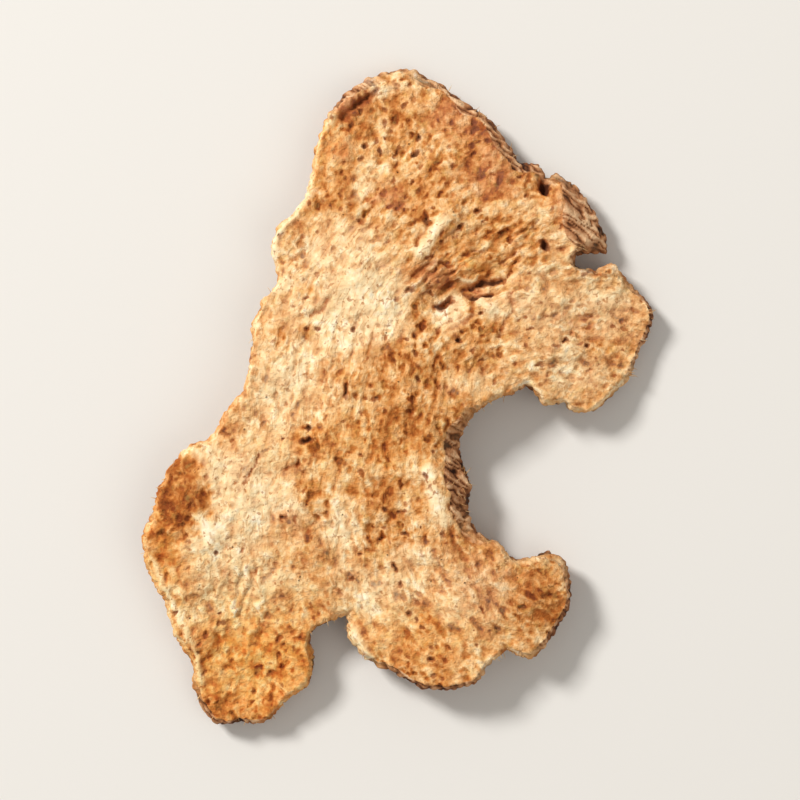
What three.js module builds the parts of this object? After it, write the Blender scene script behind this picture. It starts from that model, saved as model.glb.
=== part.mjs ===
// A dried slice of atractylodes rhizome: one lobed piece, cut about 3 mm thick and curled a little
// in drying. It lies on a table on three of its lobes, with its back raised between them.
// Millimetres, +Z up, +Y towards the crown, origin on the table under the middle of the slice's box.

import * as THREE from "three";
import { ConvexHull } from "three/addons/math/ConvexHull.js";
import { SimplexNoise } from "three/addons/math/SimplexNoise.js";

// Driving dimensions
const LENGTH = 67; // from the tip of the crown to the end of the lower left lobe
const THICKNESS = 3.3; // as cut, after drying
const RIM_STEP = 1.0; // between points along the rim
const FACE_STEP = 1.3; // between points inside a cut face
const WALL_ROWS = 3; // strips of the bark wall between the two faces

// The rim seen from above, drawn at life size and counter-clockwise from the top left. Each stretch says
// how wide the bark is seen from above and from below, because the root's skin slopes where it was cut.
const RIM_STRETCHES = [
  {
    name: "left side",
    barkAbove: 0.35,
    barkBelow: 1.2,
    points: [
      [-5.2, 30.6], [-6.7, 28.9], [-8.2, 25.9], [-8.7, 23.1], [-9.5, 19.7], [-12.1, 17.1], [-12.9, 15.1],
      [-12.3, 13.1], [-12.6, 10.8], [-14.0, 9.4], [-14.7, 7.0], [-15.1, 3.7], [-15.6, 0.9], [-18.0, -2.3],
      [-18.9, -4.2], [-21.0, -4.9], [-22.9, -6.9],
    ],
  },
  {
    name: "lower left lobe",
    barkAbove: 0.45,
    barkBelow: 0.8,
    points: [
      [-23.8, -8.6], [-24.9, -11.5], [-25.8, -14.8], [-25.4, -17.4], [-24.0, -20.2], [-22.7, -23.9],
      [-20.8, -27.2], [-20.9, -29.2], [-19.8, -31.7], [-18.0, -33.3], [-16.1, -32.9], [-13.9, -33.1],
      [-11.6, -30.8],
    ],
  },
  {
    name: "lower notch",
    barkAbove: 0.35,
    barkBelow: 0.4,
    points: [
      [-9.3, -28.7], [-8.7, -26.6], [-9.4, -25.3], [-9.1, -23.9], [-6.9, -22.4], [-5.1, -21.9],
      [-5.3, -23.4], [-4.3, -25.3],
    ],
  },
  {
    name: "lower right lobe",
    barkAbove: 0.4,
    barkBelow: 1.0,
    points: [
      [-3.0, -26.9], [-1.3, -27.3], [0.9, -28.7], [3.2, -29.6], [5.8, -29.3], [7.8, -28.8], [8.3, -27.4],
      [9.5, -26.6], [10.8, -25.5], [11.9, -26.1], [13.6, -26.1], [15.1, -24.4], [16.7, -22.0],
      [17.2, -19.8],
    ],
  },
  {
    name: "floor of the bay",
    barkAbove: 0.45,
    barkBelow: 0.5,
    points: [
      [16.7, -17.3], [15.7, -16.0], [14.1, -15.9], [12.6, -16.7], [11.4, -16.6], [10.3, -15.4],
      [8.9, -14.4],
    ],
  },
  {
    name: "back of the bay",
    barkAbove: 2.2,
    barkBelow: 0.3,
    points: [[7.4, -13.6], [6.7, -11.9], [7.0, -9.4], [6.3, -6.6], [5.8, -4.6]],
  },
  {
    name: "roof of the bay",
    barkAbove: 0.4,
    barkBelow: 0.5,
    points: [
      [6.5, -3.3], [7.1, -1.9], [9.5, -0.2], [11.9, 0.5], [12.6, 1.6], [13.7, 0.3], [14.9, -0.8],
      [16.3, -0.5], [17.8, -1.4],
    ],
  },
  {
    name: "right lobe",
    barkAbove: 0.45,
    barkBelow: 1.0,
    points: [
      [19.3, -1.6], [21.5, 0.2], [23.3, 2.3], [24.5, 5.1], [25.6, 7.8], [25.3, 9.5], [23.9, 10.7],
      [22.4, 12.5],
    ],
  },
  {
    name: "cleft above the right lobe",
    barkAbove: 0.5,
    barkBelow: 0.4,
    points: [[21.2, 13.3], [19.8, 12.6], [18.2, 12.9], [17.4, 14.1], [19.2, 14.9]],
  },
  {
    name: "knob",
    barkAbove: 2.6,
    barkBelow: 0.4,
    points: [
      [20.9, 14.5], [21.0, 16.0], [19.6, 18.5], [17.6, 21.4], [16.1, 22.5], [14.8, 22.0], [13.9, 23.5],
    ],
  },
  {
    name: "crown",
    barkAbove: 1.2,
    barkBelow: 0.4,
    points: [
      [12.6, 23.4], [11.0, 25.2], [9.5, 27.5], [7.1, 29.4], [3.4, 31.9], [1.5, 33.0], [-0.3, 33.2],
      [-2.0, 32.8], [-3.7, 31.9],
    ],
  },
];
const DRAWN_LENGTH = 66.5;
const SCALE = LENGTH / DRAWN_LENGTH;

// How drying bent the slice: soft swells of the middle surface, up (+) and down (-)
const SWELLS = [
  { name: "back", x: -1, y: -3, height: 2.7, reach: 21 },
  { name: "spine left of the middle", x: -4, y: 13, height: 0.6, reach: 5 },
  { name: "trough before the right lobe", x: 9, y: 11.5, height: -0.6, reach: 6 },
  { name: "lower right lobe, curled up", x: 9, y: -25, height: 1.3, reach: 9 },
  { name: "left shoulder", x: -22, y: -13, height: 0.7, reach: 6 },
  { name: "knob", x: 18, y: 20, height: 0.5, reach: 7 },
  { name: "tip of the lower left lobe, bent down", x: -15.8, y: -29.3, height: -1.5, reach: 8 },
  { name: "end of the right lobe, bent down", x: 22.3, y: 6.3, height: -1.4, reach: 7 },
  { name: "tip of the crown, bent down", x: -0.3, y: 29.6, height: -1.6, reach: 8 },
];
// The three lobes that touch the table, and how deep each is worn flat
const FEET = [
  [-15.8, -29.3],
  [22.3, 6.3],
  [-0.3, 29.6],
];
const FOOT_WEAR = 0.14;

// Folds that drying pulled into one face: ridges (+) and valleys (-), each along a straight line
const FOLDS = {
  above: [
    { name: "ridge towards the knob", from: [1.8, 14.3], to: [5.2, 18.3], height: 0.5, width: 1.2 },
    { name: "valley before the right lobe", from: [3.5, 9.2], to: [10.5, 12.2], height: -0.8, width: 1.5 },
    { name: "ridge beside that valley", from: [2.0, 4.5], to: [8.5, 9.3], height: 0.4, width: 1.4 },
    { name: "groove of the lower left lobe", from: [-15.7, -18.5], to: [-18, -24.4], height: -0.4, width: 1.1 },
    { name: "ridge of the lower right lobe", from: [3.2, -15.6], to: [7.6, -19.6], height: 0.4, width: 1.1 },
    { name: "lip beside the bay", from: [3.2, -7.5], to: [5.2, -12.5], height: 0.35, width: 1.3 },
  ],
  below: [
    { name: "groove along the neck", from: [-12, -7], to: [-6, 5], height: -0.5, width: 1.4 },
    { name: "groove under the crown", from: [1, 14], to: [3, 21], height: -0.4, width: 1.2 },
    { name: "groove of the lower right lobe", from: [4, -17], to: [11, -22], height: -0.45, width: 1.3 },
  ],
};

// The strands of the root fan out from here, and stand up as low ridges on the cut faces
const STRAND_ROOT = [-1.0, 8.0];
const STRAND_RIDGES = 26; // in a full turn
const STRAND_HEIGHT = 0.16;
const STRAND_SWAY = { turn: 0.25, size: 11 }; // how far they wander, in radians
const STRAND_START = [2, 6]; // they rise between these distances from the root
const STRAND_FADE = { share: 0.6, from: 16, to: 34 }; // and lose this share of their height further out
const LUMPS = [
  { size: 6.5, height: 0.26 },
  { size: 3.0, height: 0.15 },
];

// Unevenness of the outline, of the thickness and of the bark wall
const RIM_WOBBLE = { height: 0.16, size: 1.9 };
const THICKNESS_CHANGE = { share: 0.12, size: 17 };
const WALL_BULGE = 0.22;
const WALL_LUMPS = { height: 0.12, size: 1.5 };
// A sloping bark falls this share of the thickness, more of it the wider the bark is seen
const BARK_FALL = { share: 0.72, width: 1.6, bend: 1.2 };

// The same random numbers each time, for the noise
function seededRandom(seed) {
  let state = seed;
  return () => {
    state = (state * 1664525 + 1013904223) % 4294967296;
    return state / 4294967296;
  };
}
const noise = new SimplexNoise({ random: seededRandom(7) });

const smoothstep = THREE.MathUtils.smoothstep;
const lerp = THREE.MathUtils.lerp;

// Points every RIM_STEP along one closed curve through the stretches, each with its outward normal
// and its two widths of bark, which change gradually from one stretch to the next.
function makeRim() {
  const corners = RIM_STRETCHES.flatMap(({ points }) => points);
  const curve = new THREE.CatmullRomCurve3(
    corners.map(([x, y]) => new THREE.Vector3(x * SCALE, y * SCALE, 0)),
    true,
    "centripetal",
  );
  curve.arcLengthDivisions = corners.length * 20;
  const owners = RIM_STRETCHES.flatMap((stretch) => stretch.points.map(() => stretch));
  const count = Math.round(curve.getLength() / RIM_STEP);
  const rim = Array.from({ length: count }, (_, i) => {
    const t = curve.getUtoTmapping(i / count);
    const at = curve.getPoint(t);
    const along = curve.getTangent(t);
    const owner = owners[Math.floor(t * corners.length) % corners.length];
    const push = RIM_WOBBLE.height * noise.noise(at.x / RIM_WOBBLE.size, at.y / RIM_WOBBLE.size);
    return {
      x: at.x + along.y * push,
      y: at.y - along.x * push,
      outX: along.y,
      outY: -along.x,
      barkAbove: owner.barkAbove,
      barkBelow: owner.barkBelow,
    };
  });
  return rim.map((point, i) => ({
    ...point,
    barkAbove: averageAround(rim, i, "barkAbove"),
    barkBelow: averageAround(rim, i, "barkBelow"),
  }));
}

// The mean of one value over a short stretch of the rim, on both sides of a point
function averageAround(rim, i, key) {
  const halfStretch = 1.5;
  const reach = Math.round(halfStretch / RIM_STEP);
  let sum = 0;
  for (let k = -reach; k <= reach; k++) {
    sum += rim[(i + k + rim.length) % rim.length][key];
  }
  return sum / (2 * reach + 1);
}

const rim = makeRim();

function nearestOnRim(x, y) {
  let best = rim[0];
  let least = Infinity;
  for (const point of rim) {
    const distance = Math.hypot(point.x - x, point.y - y);
    if (distance < least) {
      least = distance;
      best = point;
    }
  }
  return { point: best, distance: least };
}

function isInside(x, y) {
  let inside = false;
  for (let i = 0, j = rim.length - 1; i < rim.length; j = i++) {
    const a = rim[i];
    const b = rim[j];
    if (a.y > y !== b.y > y && x < ((b.x - a.x) * (y - a.y)) / (b.y - a.y) + a.x) {
      inside = !inside;
    }
  }
  return inside;
}

// Height of the surface half way between the two cut faces
function middle(x, y) {
  return SWELLS.reduce((z, swell) => {
    const away = Math.hypot(x - swell.x, y - swell.y) / swell.reach;
    return z + swell.height * Math.exp(-away * away);
  }, 0);
}

// Height of the strands' ridges. The two faces were cut apart, so side moves each pattern.
function strands(x, y, side) {
  const dx = x - STRAND_ROOT[0];
  const dy = y - STRAND_ROOT[1];
  const away = Math.hypot(dx, dy);
  const { size } = STRAND_SWAY;
  const turn = Math.atan2(dy, dx) + STRAND_SWAY.turn * noise.noise(x / size, y / size + 9 * side);
  const rise = smoothstep(away, ...STRAND_START);
  const loss = STRAND_FADE.share * smoothstep(away, STRAND_FADE.from, STRAND_FADE.to);
  return STRAND_HEIGHT * Math.cos(turn * STRAND_RIDGES) * rise * (1 - loss);
}

function lumps(x, y, side) {
  return LUMPS.reduce(
    (z, { size, height }) => z + height * noise.noise(x / size + 31 * side, y / size),
    0,
  );
}

function folds(x, y, list) {
  const at = new THREE.Vector3(x, y, 0);
  const nearest = new THREE.Vector3();
  return list.reduce((z, { from, to, height, width }) => {
    const line = new THREE.Line3(new THREE.Vector3(...from, 0), new THREE.Vector3(...to, 0));
    const away = line.closestPointToPoint(at, true, nearest).distanceTo(at) / width;
    return z + height * Math.exp(-away * away);
  }, 0);
}

function thickness(x, y) {
  const { share, size } = THICKNESS_CHANGE;
  return THICKNESS * (1 + share * noise.noise(x / size + 50, y / size));
}

// How far the surface falls towards the rim, over a bark of this width
function fall(width, distance) {
  const depth = BARK_FALL.share * THICKNESS * (1 - Math.exp(-width / BARK_FALL.width));
  return depth * Math.pow(Math.max(0, 1 - distance / width), BARK_FALL.bend);
}

const upper = {
  side: 1,
  bark: "barkAbove",
  height(x, y, width, distance) {
    const relief = strands(x, y, 1) + lumps(x, y, 1) + folds(x, y, FOLDS.above);
    return middle(x, y) + thickness(x, y) / 2 + relief - fall(width, distance);
  },
};
const lower = {
  side: -1,
  bark: "barkBelow",
  height(x, y, width, distance) {
    const relief = strands(x, y, -1) + lumps(x, y, -1) - folds(x, y, FOLDS.below);
    return middle(x, y) - thickness(x, y) / 2 + relief + fall(width, distance);
  },
};

// The plane through the three feet, which the slice is set down on
function makeTable() {
  const feet = FEET.map(([x, y]) => new THREE.Vector3(x, y, lower.height(x, y, 1, 1)));
  const plane = new THREE.Plane().setFromCoplanarPoints(...feet);
  const { normal, constant } = plane;
  return (x, y) => -(normal.x * x + normal.y * y + constant) / normal.z;
}

const table = makeTable();

// A height on one face, set down on the table, with the feet worn flat
function settled(face, x, y, width, distance) {
  const z = face.height(x, y, width, distance) - table(x, y) - FOOT_WEAR;
  return face === lower ? Math.max(0, z) : z;
}

// Points inside one face: a ring where the bark ends, then a triangular grid. A point too close to
// the rim or to another point is left out, so that no triangle is a sliver.
function facePoints(face) {
  const points = [];
  const isClear = (x, y, room) => points.every((p) => Math.hypot(p.x - x, p.y - y) > room);
  const add = (x, y, width, distance) => points.push({ x, y, width, distance });
  for (const point of rim) {
    const width = point[face.bark];
    const x = point.x - point.outX * width;
    const y = point.y - point.outY * width;
    const near = nearestOnRim(x, y);
    if (isInside(x, y) && near.distance > 0.9 * width && isClear(x, y, 0.45 * RIM_STEP)) {
      add(x, y, width, width);
    }
  }
  const rowStep = (FACE_STEP * Math.sqrt(3)) / 2;
  const reach = Math.ceil(LENGTH / 2 / rowStep) + 1;
  for (let row = -reach; row <= reach; row++) {
    for (let column = -reach; column <= reach; column++) {
      const jitter = 0.06 * FACE_STEP;
      const x = (column + (row % 2) / 2) * FACE_STEP + jitter * noise.noise(column, row + 0.5);
      const y = row * rowStep + jitter * noise.noise(row, column + 0.5);
      if (!isInside(x, y)) continue;
      const { point, distance } = nearestOnRim(x, y);
      if (distance > 0.6 * FACE_STEP && isClear(x, y, 0.5 * FACE_STEP)) {
        add(x, y, point[face.bark], distance);
      }
    }
  }
  return points;
}

// Delaunay triangles of flat points: the lower side of their hull once lifted onto a paraboloid
function triangulate(points) {
  const lifted = points.map(({ x, y }) => new THREE.Vector3(x, y, x * x + y * y));
  const index = new Map(lifted.map((vertex, i) => [vertex, i]));
  const triangles = [];
  for (const hullFace of new ConvexHull().setFromPoints(lifted).faces) {
    if (hullFace.normal.z >= 0) continue;
    const { edge } = hullFace;
    triangles.push([edge, edge.next, edge.prev].map((e) => index.get(e.head().point)));
  }
  return triangles;
}

// Keeps the triangles inside the rim and turns each one anticlockwise seen from above
function trimToRim(triangles, points) {
  return triangles.flatMap(([a, b, c]) => {
    const [p, q, r] = [points[a], points[b], points[c]];
    if (!isInside((p.x + q.x + r.x) / 3, (p.y + q.y + r.y) / 3)) return [];
    const turn = (q.x - p.x) * (r.y - p.y) - (q.y - p.y) * (r.x - p.x);
    return [turn > 0 ? [a, b, c] : [a, c, b]];
  });
}

// The slice's surface: the upper face, the lower face turned over, and the bark wall between them
function makeSlice() {
  const positions = [];
  const triangles = [];
  const push = (x, y, z) => positions.push(x, y, z) / 3 - 1;

  const rims = {};
  for (const face of [upper, lower]) {
    const onRim = rim.map((p) => ({ x: p.x, y: p.y, width: p[face.bark], distance: 0 }));
    const points = [...onRim, ...facePoints(face)];
    const first = positions.length / 3;
    points.forEach((p) => push(p.x, p.y, settled(face, p.x, p.y, p.width, p.distance)));
    for (const [a, b, c] of trimToRim(triangulate(points), points)) {
      triangles.push(...(face === upper ? [a, b, c] : [a, c, b]).map((i) => first + i));
    }
    rims[face.side] = rim.map((_, i) => first + i);
  }

  const rows = [rims[lower.side]];
  for (let row = 1; row < WALL_ROWS; row++) {
    const share = row / WALL_ROWS;
    rows.push(
      rim.map((p, i) => {
        const low = positions[3 * rims[lower.side][i] + 2];
        const high = positions[3 * rims[upper.side][i] + 2];
        const { height, size } = WALL_LUMPS;
        const lump = height * noise.noise3d(p.x / size, p.y / size, row);
        const out = WALL_BULGE * Math.sin(Math.PI * share) + lump;
        return push(p.x + p.outX * out, p.y + p.outY * out, lerp(low, high, share));
      }),
    );
  }
  rows.push(rims[upper.side]);
  for (let row = 0; row < WALL_ROWS; row++) {
    for (let i = 0; i < rim.length; i++) {
      const j = (i + 1) % rim.length;
      const [a, b, c, d] = [rows[row][i], rows[row][j], rows[row + 1][j], rows[row + 1][i]];
      triangles.push(a, b, c, a, c, d);
    }
  }

  const geometry = new THREE.BufferGeometry();
  geometry.setAttribute("position", new THREE.Float32BufferAttribute(positions, 3));
  geometry.setIndex(triangles);
  geometry.computeBoundingBox();
  const centre = geometry.boundingBox.getCenter(new THREE.Vector3());
  geometry.translate(-centre.x, -centre.y, 0);
  geometry.computeVertexNormals();
  return geometry;
}

const driedRoot = new THREE.MeshStandardMaterial({ color: 0xd9b083, roughness: 0.9, metalness: 0 });

const slice = new THREE.Mesh(makeSlice(), driedRoot);
slice.name = "atractylodes_slice";

const part = new THREE.Group();
part.add(slice);

export default part;
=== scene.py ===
# %% [markdown]
# # A dried atractylodes slice
# A slice of this root is a thin, lobed sheet. Its two cut faces are pale, fibrous and full of small
# pits, where the juice dried out of the root, and a strip of wrinkled bark runs round its rim. The
# model from the frame has the outline, the curl and the largest folds. Everything finer is made here:
# first a much finer mesh of the same form, then its relief, then its colours, and last the light.

# %% Load the frame and keep its box
import math

import bpy
import bmesh
import numpy as np
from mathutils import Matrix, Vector, kdtree


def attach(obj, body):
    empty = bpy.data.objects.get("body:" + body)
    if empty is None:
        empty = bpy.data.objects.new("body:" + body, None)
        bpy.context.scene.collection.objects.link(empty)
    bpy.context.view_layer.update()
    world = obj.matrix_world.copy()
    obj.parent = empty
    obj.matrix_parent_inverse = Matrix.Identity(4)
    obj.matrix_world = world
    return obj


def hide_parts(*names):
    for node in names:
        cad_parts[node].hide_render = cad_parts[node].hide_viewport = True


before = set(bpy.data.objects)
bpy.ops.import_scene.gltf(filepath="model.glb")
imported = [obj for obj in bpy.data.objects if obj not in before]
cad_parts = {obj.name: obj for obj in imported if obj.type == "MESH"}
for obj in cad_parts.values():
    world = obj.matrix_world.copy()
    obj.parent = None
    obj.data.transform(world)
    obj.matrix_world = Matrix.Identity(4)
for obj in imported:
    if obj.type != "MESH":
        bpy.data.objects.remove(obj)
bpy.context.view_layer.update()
NODE = "atractylodes_slice"
MM = 0.001  # the frame is in metres, and a slice is easier to think about in millimetres

# %% [markdown]
# ## A mesh fine enough for pits
# The frame's slice has facets of about 1.3 mm, and a pit is only half a millimetre wide. A subdivision
# surface rounds the facets off first, with a crease along the rim, because a knife cut that edge. A
# voxel remesh then covers the form with small squares that are all alike, which suits relief that runs
# over the faces, the rim and the wall without a seam. A grid laid over the top face alone would have
# been finer for its size, but it has to be sewn to the wall.

# %% Cover the frame's slice with small squares
SQUARE = 0.18  # mm
SHARP_TURN = math.radians(40)  # an edge that turns by more is part of the rim
CREASE = 0.7  # how firmly the rounding keeps such an edge, from 0 to 1
ROUNDINGS = 2
SAME_PLACE = 1e-7  # m, corners nearer than this are one corner


def apply_modifiers(thing):
    """Makes what the modifiers of a thing show its own mesh."""
    shown = thing.evaluated_get(bpy.context.evaluated_depsgraph_get())
    mesh = bpy.data.meshes.new_from_object(shown)
    thing.modifiers.clear()
    thing.data = mesh


def fine_copy(node, name, square):
    """A copy of a node, rounded off and covered with squares of this size in millimetres."""
    copy = bpy.data.objects.new(name, node.data.copy())
    bpy.context.scene.collection.objects.link(copy)
    work = bmesh.new()
    work.from_mesh(copy.data)
    bmesh.ops.remove_doubles(work, verts=work.verts, dist=SAME_PLACE)
    crease = work.edges.layers.float.new("crease_edge")
    for edge in work.edges:
        if edge.calc_face_angle(0) > SHARP_TURN:
            edge[crease] = CREASE
    work.to_mesh(copy.data)
    work.free()
    rounding = copy.modifiers.new("rounding", "SUBSURF")
    rounding.levels = ROUNDINGS
    covering = copy.modifiers.new("covering", "REMESH")
    covering.mode = "VOXEL"
    covering.voxel_size = square * MM
    apply_modifiers(copy)
    return copy


dried_slice = fine_copy(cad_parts[NODE], "dried_slice", SQUARE)
print("squares:", len(dried_slice.data.polygons))

# %% [markdown]
# ## The mesh as plain numbers
# A modifier could displace the mesh by a texture, but the relief of a dried root depends on which way
# its strands run, and that is easier to say in a few lines of numpy. So the corners, the faces and
# the edges are read into arrays once, in millimetres, and written back when the relief is done.

# %% Read the mesh, and average over neighbours
def read(items, name, width=1, kind=np.int64):
    """One property of all these items of a mesh, as rows of this width."""
    values = np.zeros(len(items) * width, dtype=kind)
    items.foreach_get(name, values)
    return values if width == 1 else values.reshape(-1, width)


def read_mesh(mesh):
    """Corners in millimetres, faces as rows of four corners, and edges as pairs."""
    places = read(mesh.vertices, "co", 3, np.float64) / MM
    faces = read(mesh.loops, "vertex_index").reshape(-1, 4)
    return places, faces, read(mesh.edges, "vertices", 2)


def gather(count, index, values):
    """The sum, for each of count corners, of the rows of values that index sends to it."""
    return np.stack([np.bincount(index, column, count) for column in values.T], axis=1)


def relax(values, edges, rounds):
    """Each row of values moved towards the mean of its neighbours', this many times."""
    count = len(values)
    neighbours = np.bincount(edges.ravel(), minlength=count)[:, None]
    for _ in range(rounds):
        total = gather(count, edges[:, 0], values[edges[:, 1]])
        total += gather(count, edges[:, 1], values[edges[:, 0]])
        values = 0.5 * values + 0.5 * total / neighbours
    return values


def unit(vectors):
    """Each row with a length of 1."""
    return vectors / np.maximum(np.linalg.norm(vectors, axis=1), 1e-9)[:, None]


def corner_normals(places, faces):
    """The mean direction, at each corner, of the faces round it."""
    one_way = places[faces[:, 2]] - places[faces[:, 0]]
    other_way = places[faces[:, 3]] - places[faces[:, 1]]
    of_faces = np.repeat(np.cross(one_way, other_way), 4, axis=0)
    return unit(gather(len(places), faces.ravel(), of_faces))


STEP_ROUNDS = 3  # of relaxing, which take away the steps that the squares leave
places, faces, edges = read_mesh(dried_slice.data)
places = relax(places, edges, STEP_ROUNDS)
normals = corner_normals(places, faces)
print("corners:", len(places), "lowest, mm:", places[:, 2].min().round(2))

# %% [markdown]
# ## Noise to draw with
# Almost every pattern on a root is a kind of noise: soft lumps, crumbs, or lumps drawn out along the
# strands. Blender has noise in `mathutils.noise`, one point at a time. Here it is written once for
# whole arrays, with its random numbers seeded, so that each run gives the same slice.

# %% Gradient noise for many points at once
CELLS = 256  # the noise repeats after this many
LOUDNESS = 1.6  # brings it to about -1 to 1


def make_noise(seed):
    """Noise of its own for each seed: it takes rows of x, y and z, and gives about -1 to 1."""
    random = np.random.default_rng(seed)
    order = random.permutation(CELLS)
    arrows = unit(random.normal(size=(CELLS, 3)))

    def noise(points):
        cell = np.floor(points).astype(np.int64)
        part = points - cell
        ease = part**3 * (part * (part * 6 - 15) + 10)
        total = np.zeros(len(points))
        for corner in np.ndindex(2, 2, 2):
            x, y, z = ((cell + corner) % CELLS).T
            arrow = arrows[order[(order[(order[x] + y) % CELLS] + z) % CELLS]]
            share = np.where(corner, ease, 1 - ease).prod(axis=1)
            total += share * (arrow * (part - corner)).sum(axis=1)
        return LOUDNESS * total

    return noise


def even(values):
    """The same pattern with a mean of 0 and a spread of 1."""
    return (values - values.mean()) / values.std()


def ramp(values, low, high):
    """0 below low, 1 above high, and a smooth rise between."""
    share = np.clip((values - low) / (high - low), 0, 1)
    return share * share * (3 - 2 * share)


lumps = make_noise(1)
print("noise runs from", lumps(places).min().round(2), "to", lumps(places).max().round(2))

# %% [markdown]
# ## Where the bark is
# Seen from above, the bark shows where the root's skin slopes away from the cut. The form in the
# frame has that slope, so the slope itself says where the bark is: a corner belongs to it where the
# surface tilts far from level. The knob is the one place where bark lies level. The distance to the
# wall, as it is seen from above, is kept too, for everything that changes towards the rim.

# %% Bark where the surface tilts, and the distance to it
TILT_ROUNDS = 10  # of relaxing, so that the tilt is that of the form and not of one square
FLESH_LEVEL = (0.72, 0.88)  # less level than the first it is all bark, and past the second there is none
WALL_LEVEL = 0.5  # the surface is the wall where it is less level than this
KNOB_PLACE = np.array([18.9, 18.2])  # mm
KNOB_SIZE = np.array([2.5, 3.3])  # half its width and length, mm
KNOB_EDGE = (0.3, 0.5)

tilt = unit(relax(normals, edges, TILT_ROUNDS))
level = np.abs(tilt[:, 2])
is_top = tilt[:, 2] > 0
knob = ((places[:, :2] - KNOB_PLACE) / KNOB_SIZE) ** 2
bark = np.maximum(1 - ramp(level, *FLESH_LEVEL), is_top * ramp(np.exp(-knob.sum(axis=1)), *KNOB_EDGE))


def search_tree(chosen, places):
    """A tree that finds the nearest of the chosen places fast."""
    tree = kdtree.KDTree(len(chosen))
    for index in chosen:
        tree.insert(places[index], index)
    tree.balance()
    return tree


def distance_to(chosen, places):
    """How far each place is from the nearest of the chosen ones."""
    tree = search_tree(chosen, places)
    return np.array([tree.find(place)[2] for place in places])


from_wall = distance_to(np.flatnonzero(level < WALL_LEVEL), places * (1, 1, 0))
print("share of bark:", bark.mean().round(2), "furthest from the wall, mm:", from_wall.max().round(1))

# %% [markdown]
# ## Which way the strands run
# The strands of a root fan out from its old stem and bend into each lobe. A texture can't know that,
# so a few places on the slice say which way they run there, and the direction anywhere else is a
# weighted mean. A strand has no front or back, so the mean is taken over doubled angles.

# %% The direction of the strands at every corner
STRAND_GUIDES = [  # x and y in millimetres, and the direction in degrees
    ("crown", -3, 27, 88),
    ("right side of the crown", 8, 22, 60),
    ("towards the knob", 5, 16, 42),
    ("right lobe", 12, 10, 24),
    ("end of the right lobe", 20, 5, 8),
    ("neck", -10, 5, 74),
    ("middle", -2, 0, 98),
    ("left shoulder", -18, -10, 54),
    ("lower left lobe", -16, -25, 68),
    ("between the lower lobes", -3, -15, 112),
    ("lower right lobe", 5, -18, 130),
    ("tip of the lower right lobe", 13, -21, 150),
    ("beside the bay", 4, -9, 108),
]
GUIDE_REACH = 7.0  # mm
EVERYWHERE = 1e-4  # the weight that a guide keeps far away
LOWEST_ANGLE = math.radians(-20)  # no guide points this way, so the angles have no jump elsewhere
WAVER = 0.3  # radians
WAVER_SIZE = 4.5  # mm


def level_noise(noise, spots, height):
    """Noise for rows of x and y, all of them taken at one height in the noise."""
    return noise(np.column_stack([spots, np.full(len(spots), height)]))


def strand_directions(places):
    """Level unit vectors along the strands, with a slow waver."""
    double = np.zeros((len(places), 2))
    for _, x, y, degrees in STRAND_GUIDES:
        away = np.hypot(places[:, 0] - x, places[:, 1] - y) / GUIDE_REACH
        weight = np.exp(-away * away) + EVERYWHERE
        angle = 2 * math.radians(degrees)
        double += weight[:, None] * (math.cos(angle), math.sin(angle))
    angle = 0.5 * np.arctan2(double[:, 1], double[:, 0])
    angle[angle < LOWEST_ANGLE] += math.pi
    angle += WAVER * level_noise(lumps, places[:, :2] / WAVER_SIZE + 20, 20.5)
    return np.stack([np.cos(angle), np.sin(angle), np.zeros(len(angle))], axis=1)


strands = strand_directions(places)
print("strands of", len(STRAND_GUIDES), "guides")

# %% [markdown]
# ## Coordinates that follow the strands
# Lumps of noise become strokes when they are long one way and narrow the other. On wood that is done
# by stretching the coordinates, but here the strands turn from lobe to lobe. So each corner gets two
# numbers of its own: how far along the strands it is, and how far across. They are the two height maps
# over a coarse grid whose slopes come as near as they can to the directions, which is one set of linear
# equations. Noise in these coordinates turns with the strands, on the mesh and in the material.

# %% How far along and how far across the strands every corner is
GRID_STEP = 1.2  # mm
HOLD = 1e-6  # ties the heights to 0 a little, because slopes alone leave them free to rise together
GRID_ROUNDS = 12  # of relaxing, which hide the grid's cells


def heights(slopes):
    """Heights on a grid that climb by these slopes along its two directions, as nearly as they can."""
    number = np.arange(slopes.shape[0] * slopes.shape[1]).reshape(slopes.shape[:2])
    matrix = HOLD * np.eye(number.size)
    wanted = np.zeros(number.size)
    pairs = [(number[:-1], number[1:]), (number[:, :-1], number[:, 1:])]
    for axis, (start, end) in enumerate(pairs):
        start, end = start.ravel(), end.ravel()
        slope = slopes[..., axis].ravel()
        climb = 0.5 * GRID_STEP * (slope[start] + slope[end])
        for a, b, sign in ((start, end, -1), (end, start, 1)):
            np.add.at(matrix, (a, a), 1)
            np.add.at(matrix, (a, b), -1)
            np.add.at(wanted, a, sign * climb)
    return np.linalg.solve(matrix, wanted).reshape(number.shape)


def read_grid(grid, cells):
    """The grid's value at each place, given in cells of the grid, mixed from the four points round it."""
    corner = np.clip(cells.astype(int), 0, np.array(grid.shape) - 2)
    x, y = (cells - corner).T
    i, j = corner.T
    near = (1 - y) * grid[i, j] + y * grid[i, j + 1]
    far = (1 - y) * grid[i + 1, j] + y * grid[i + 1, j + 1]
    return (1 - x) * near + x * far


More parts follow.
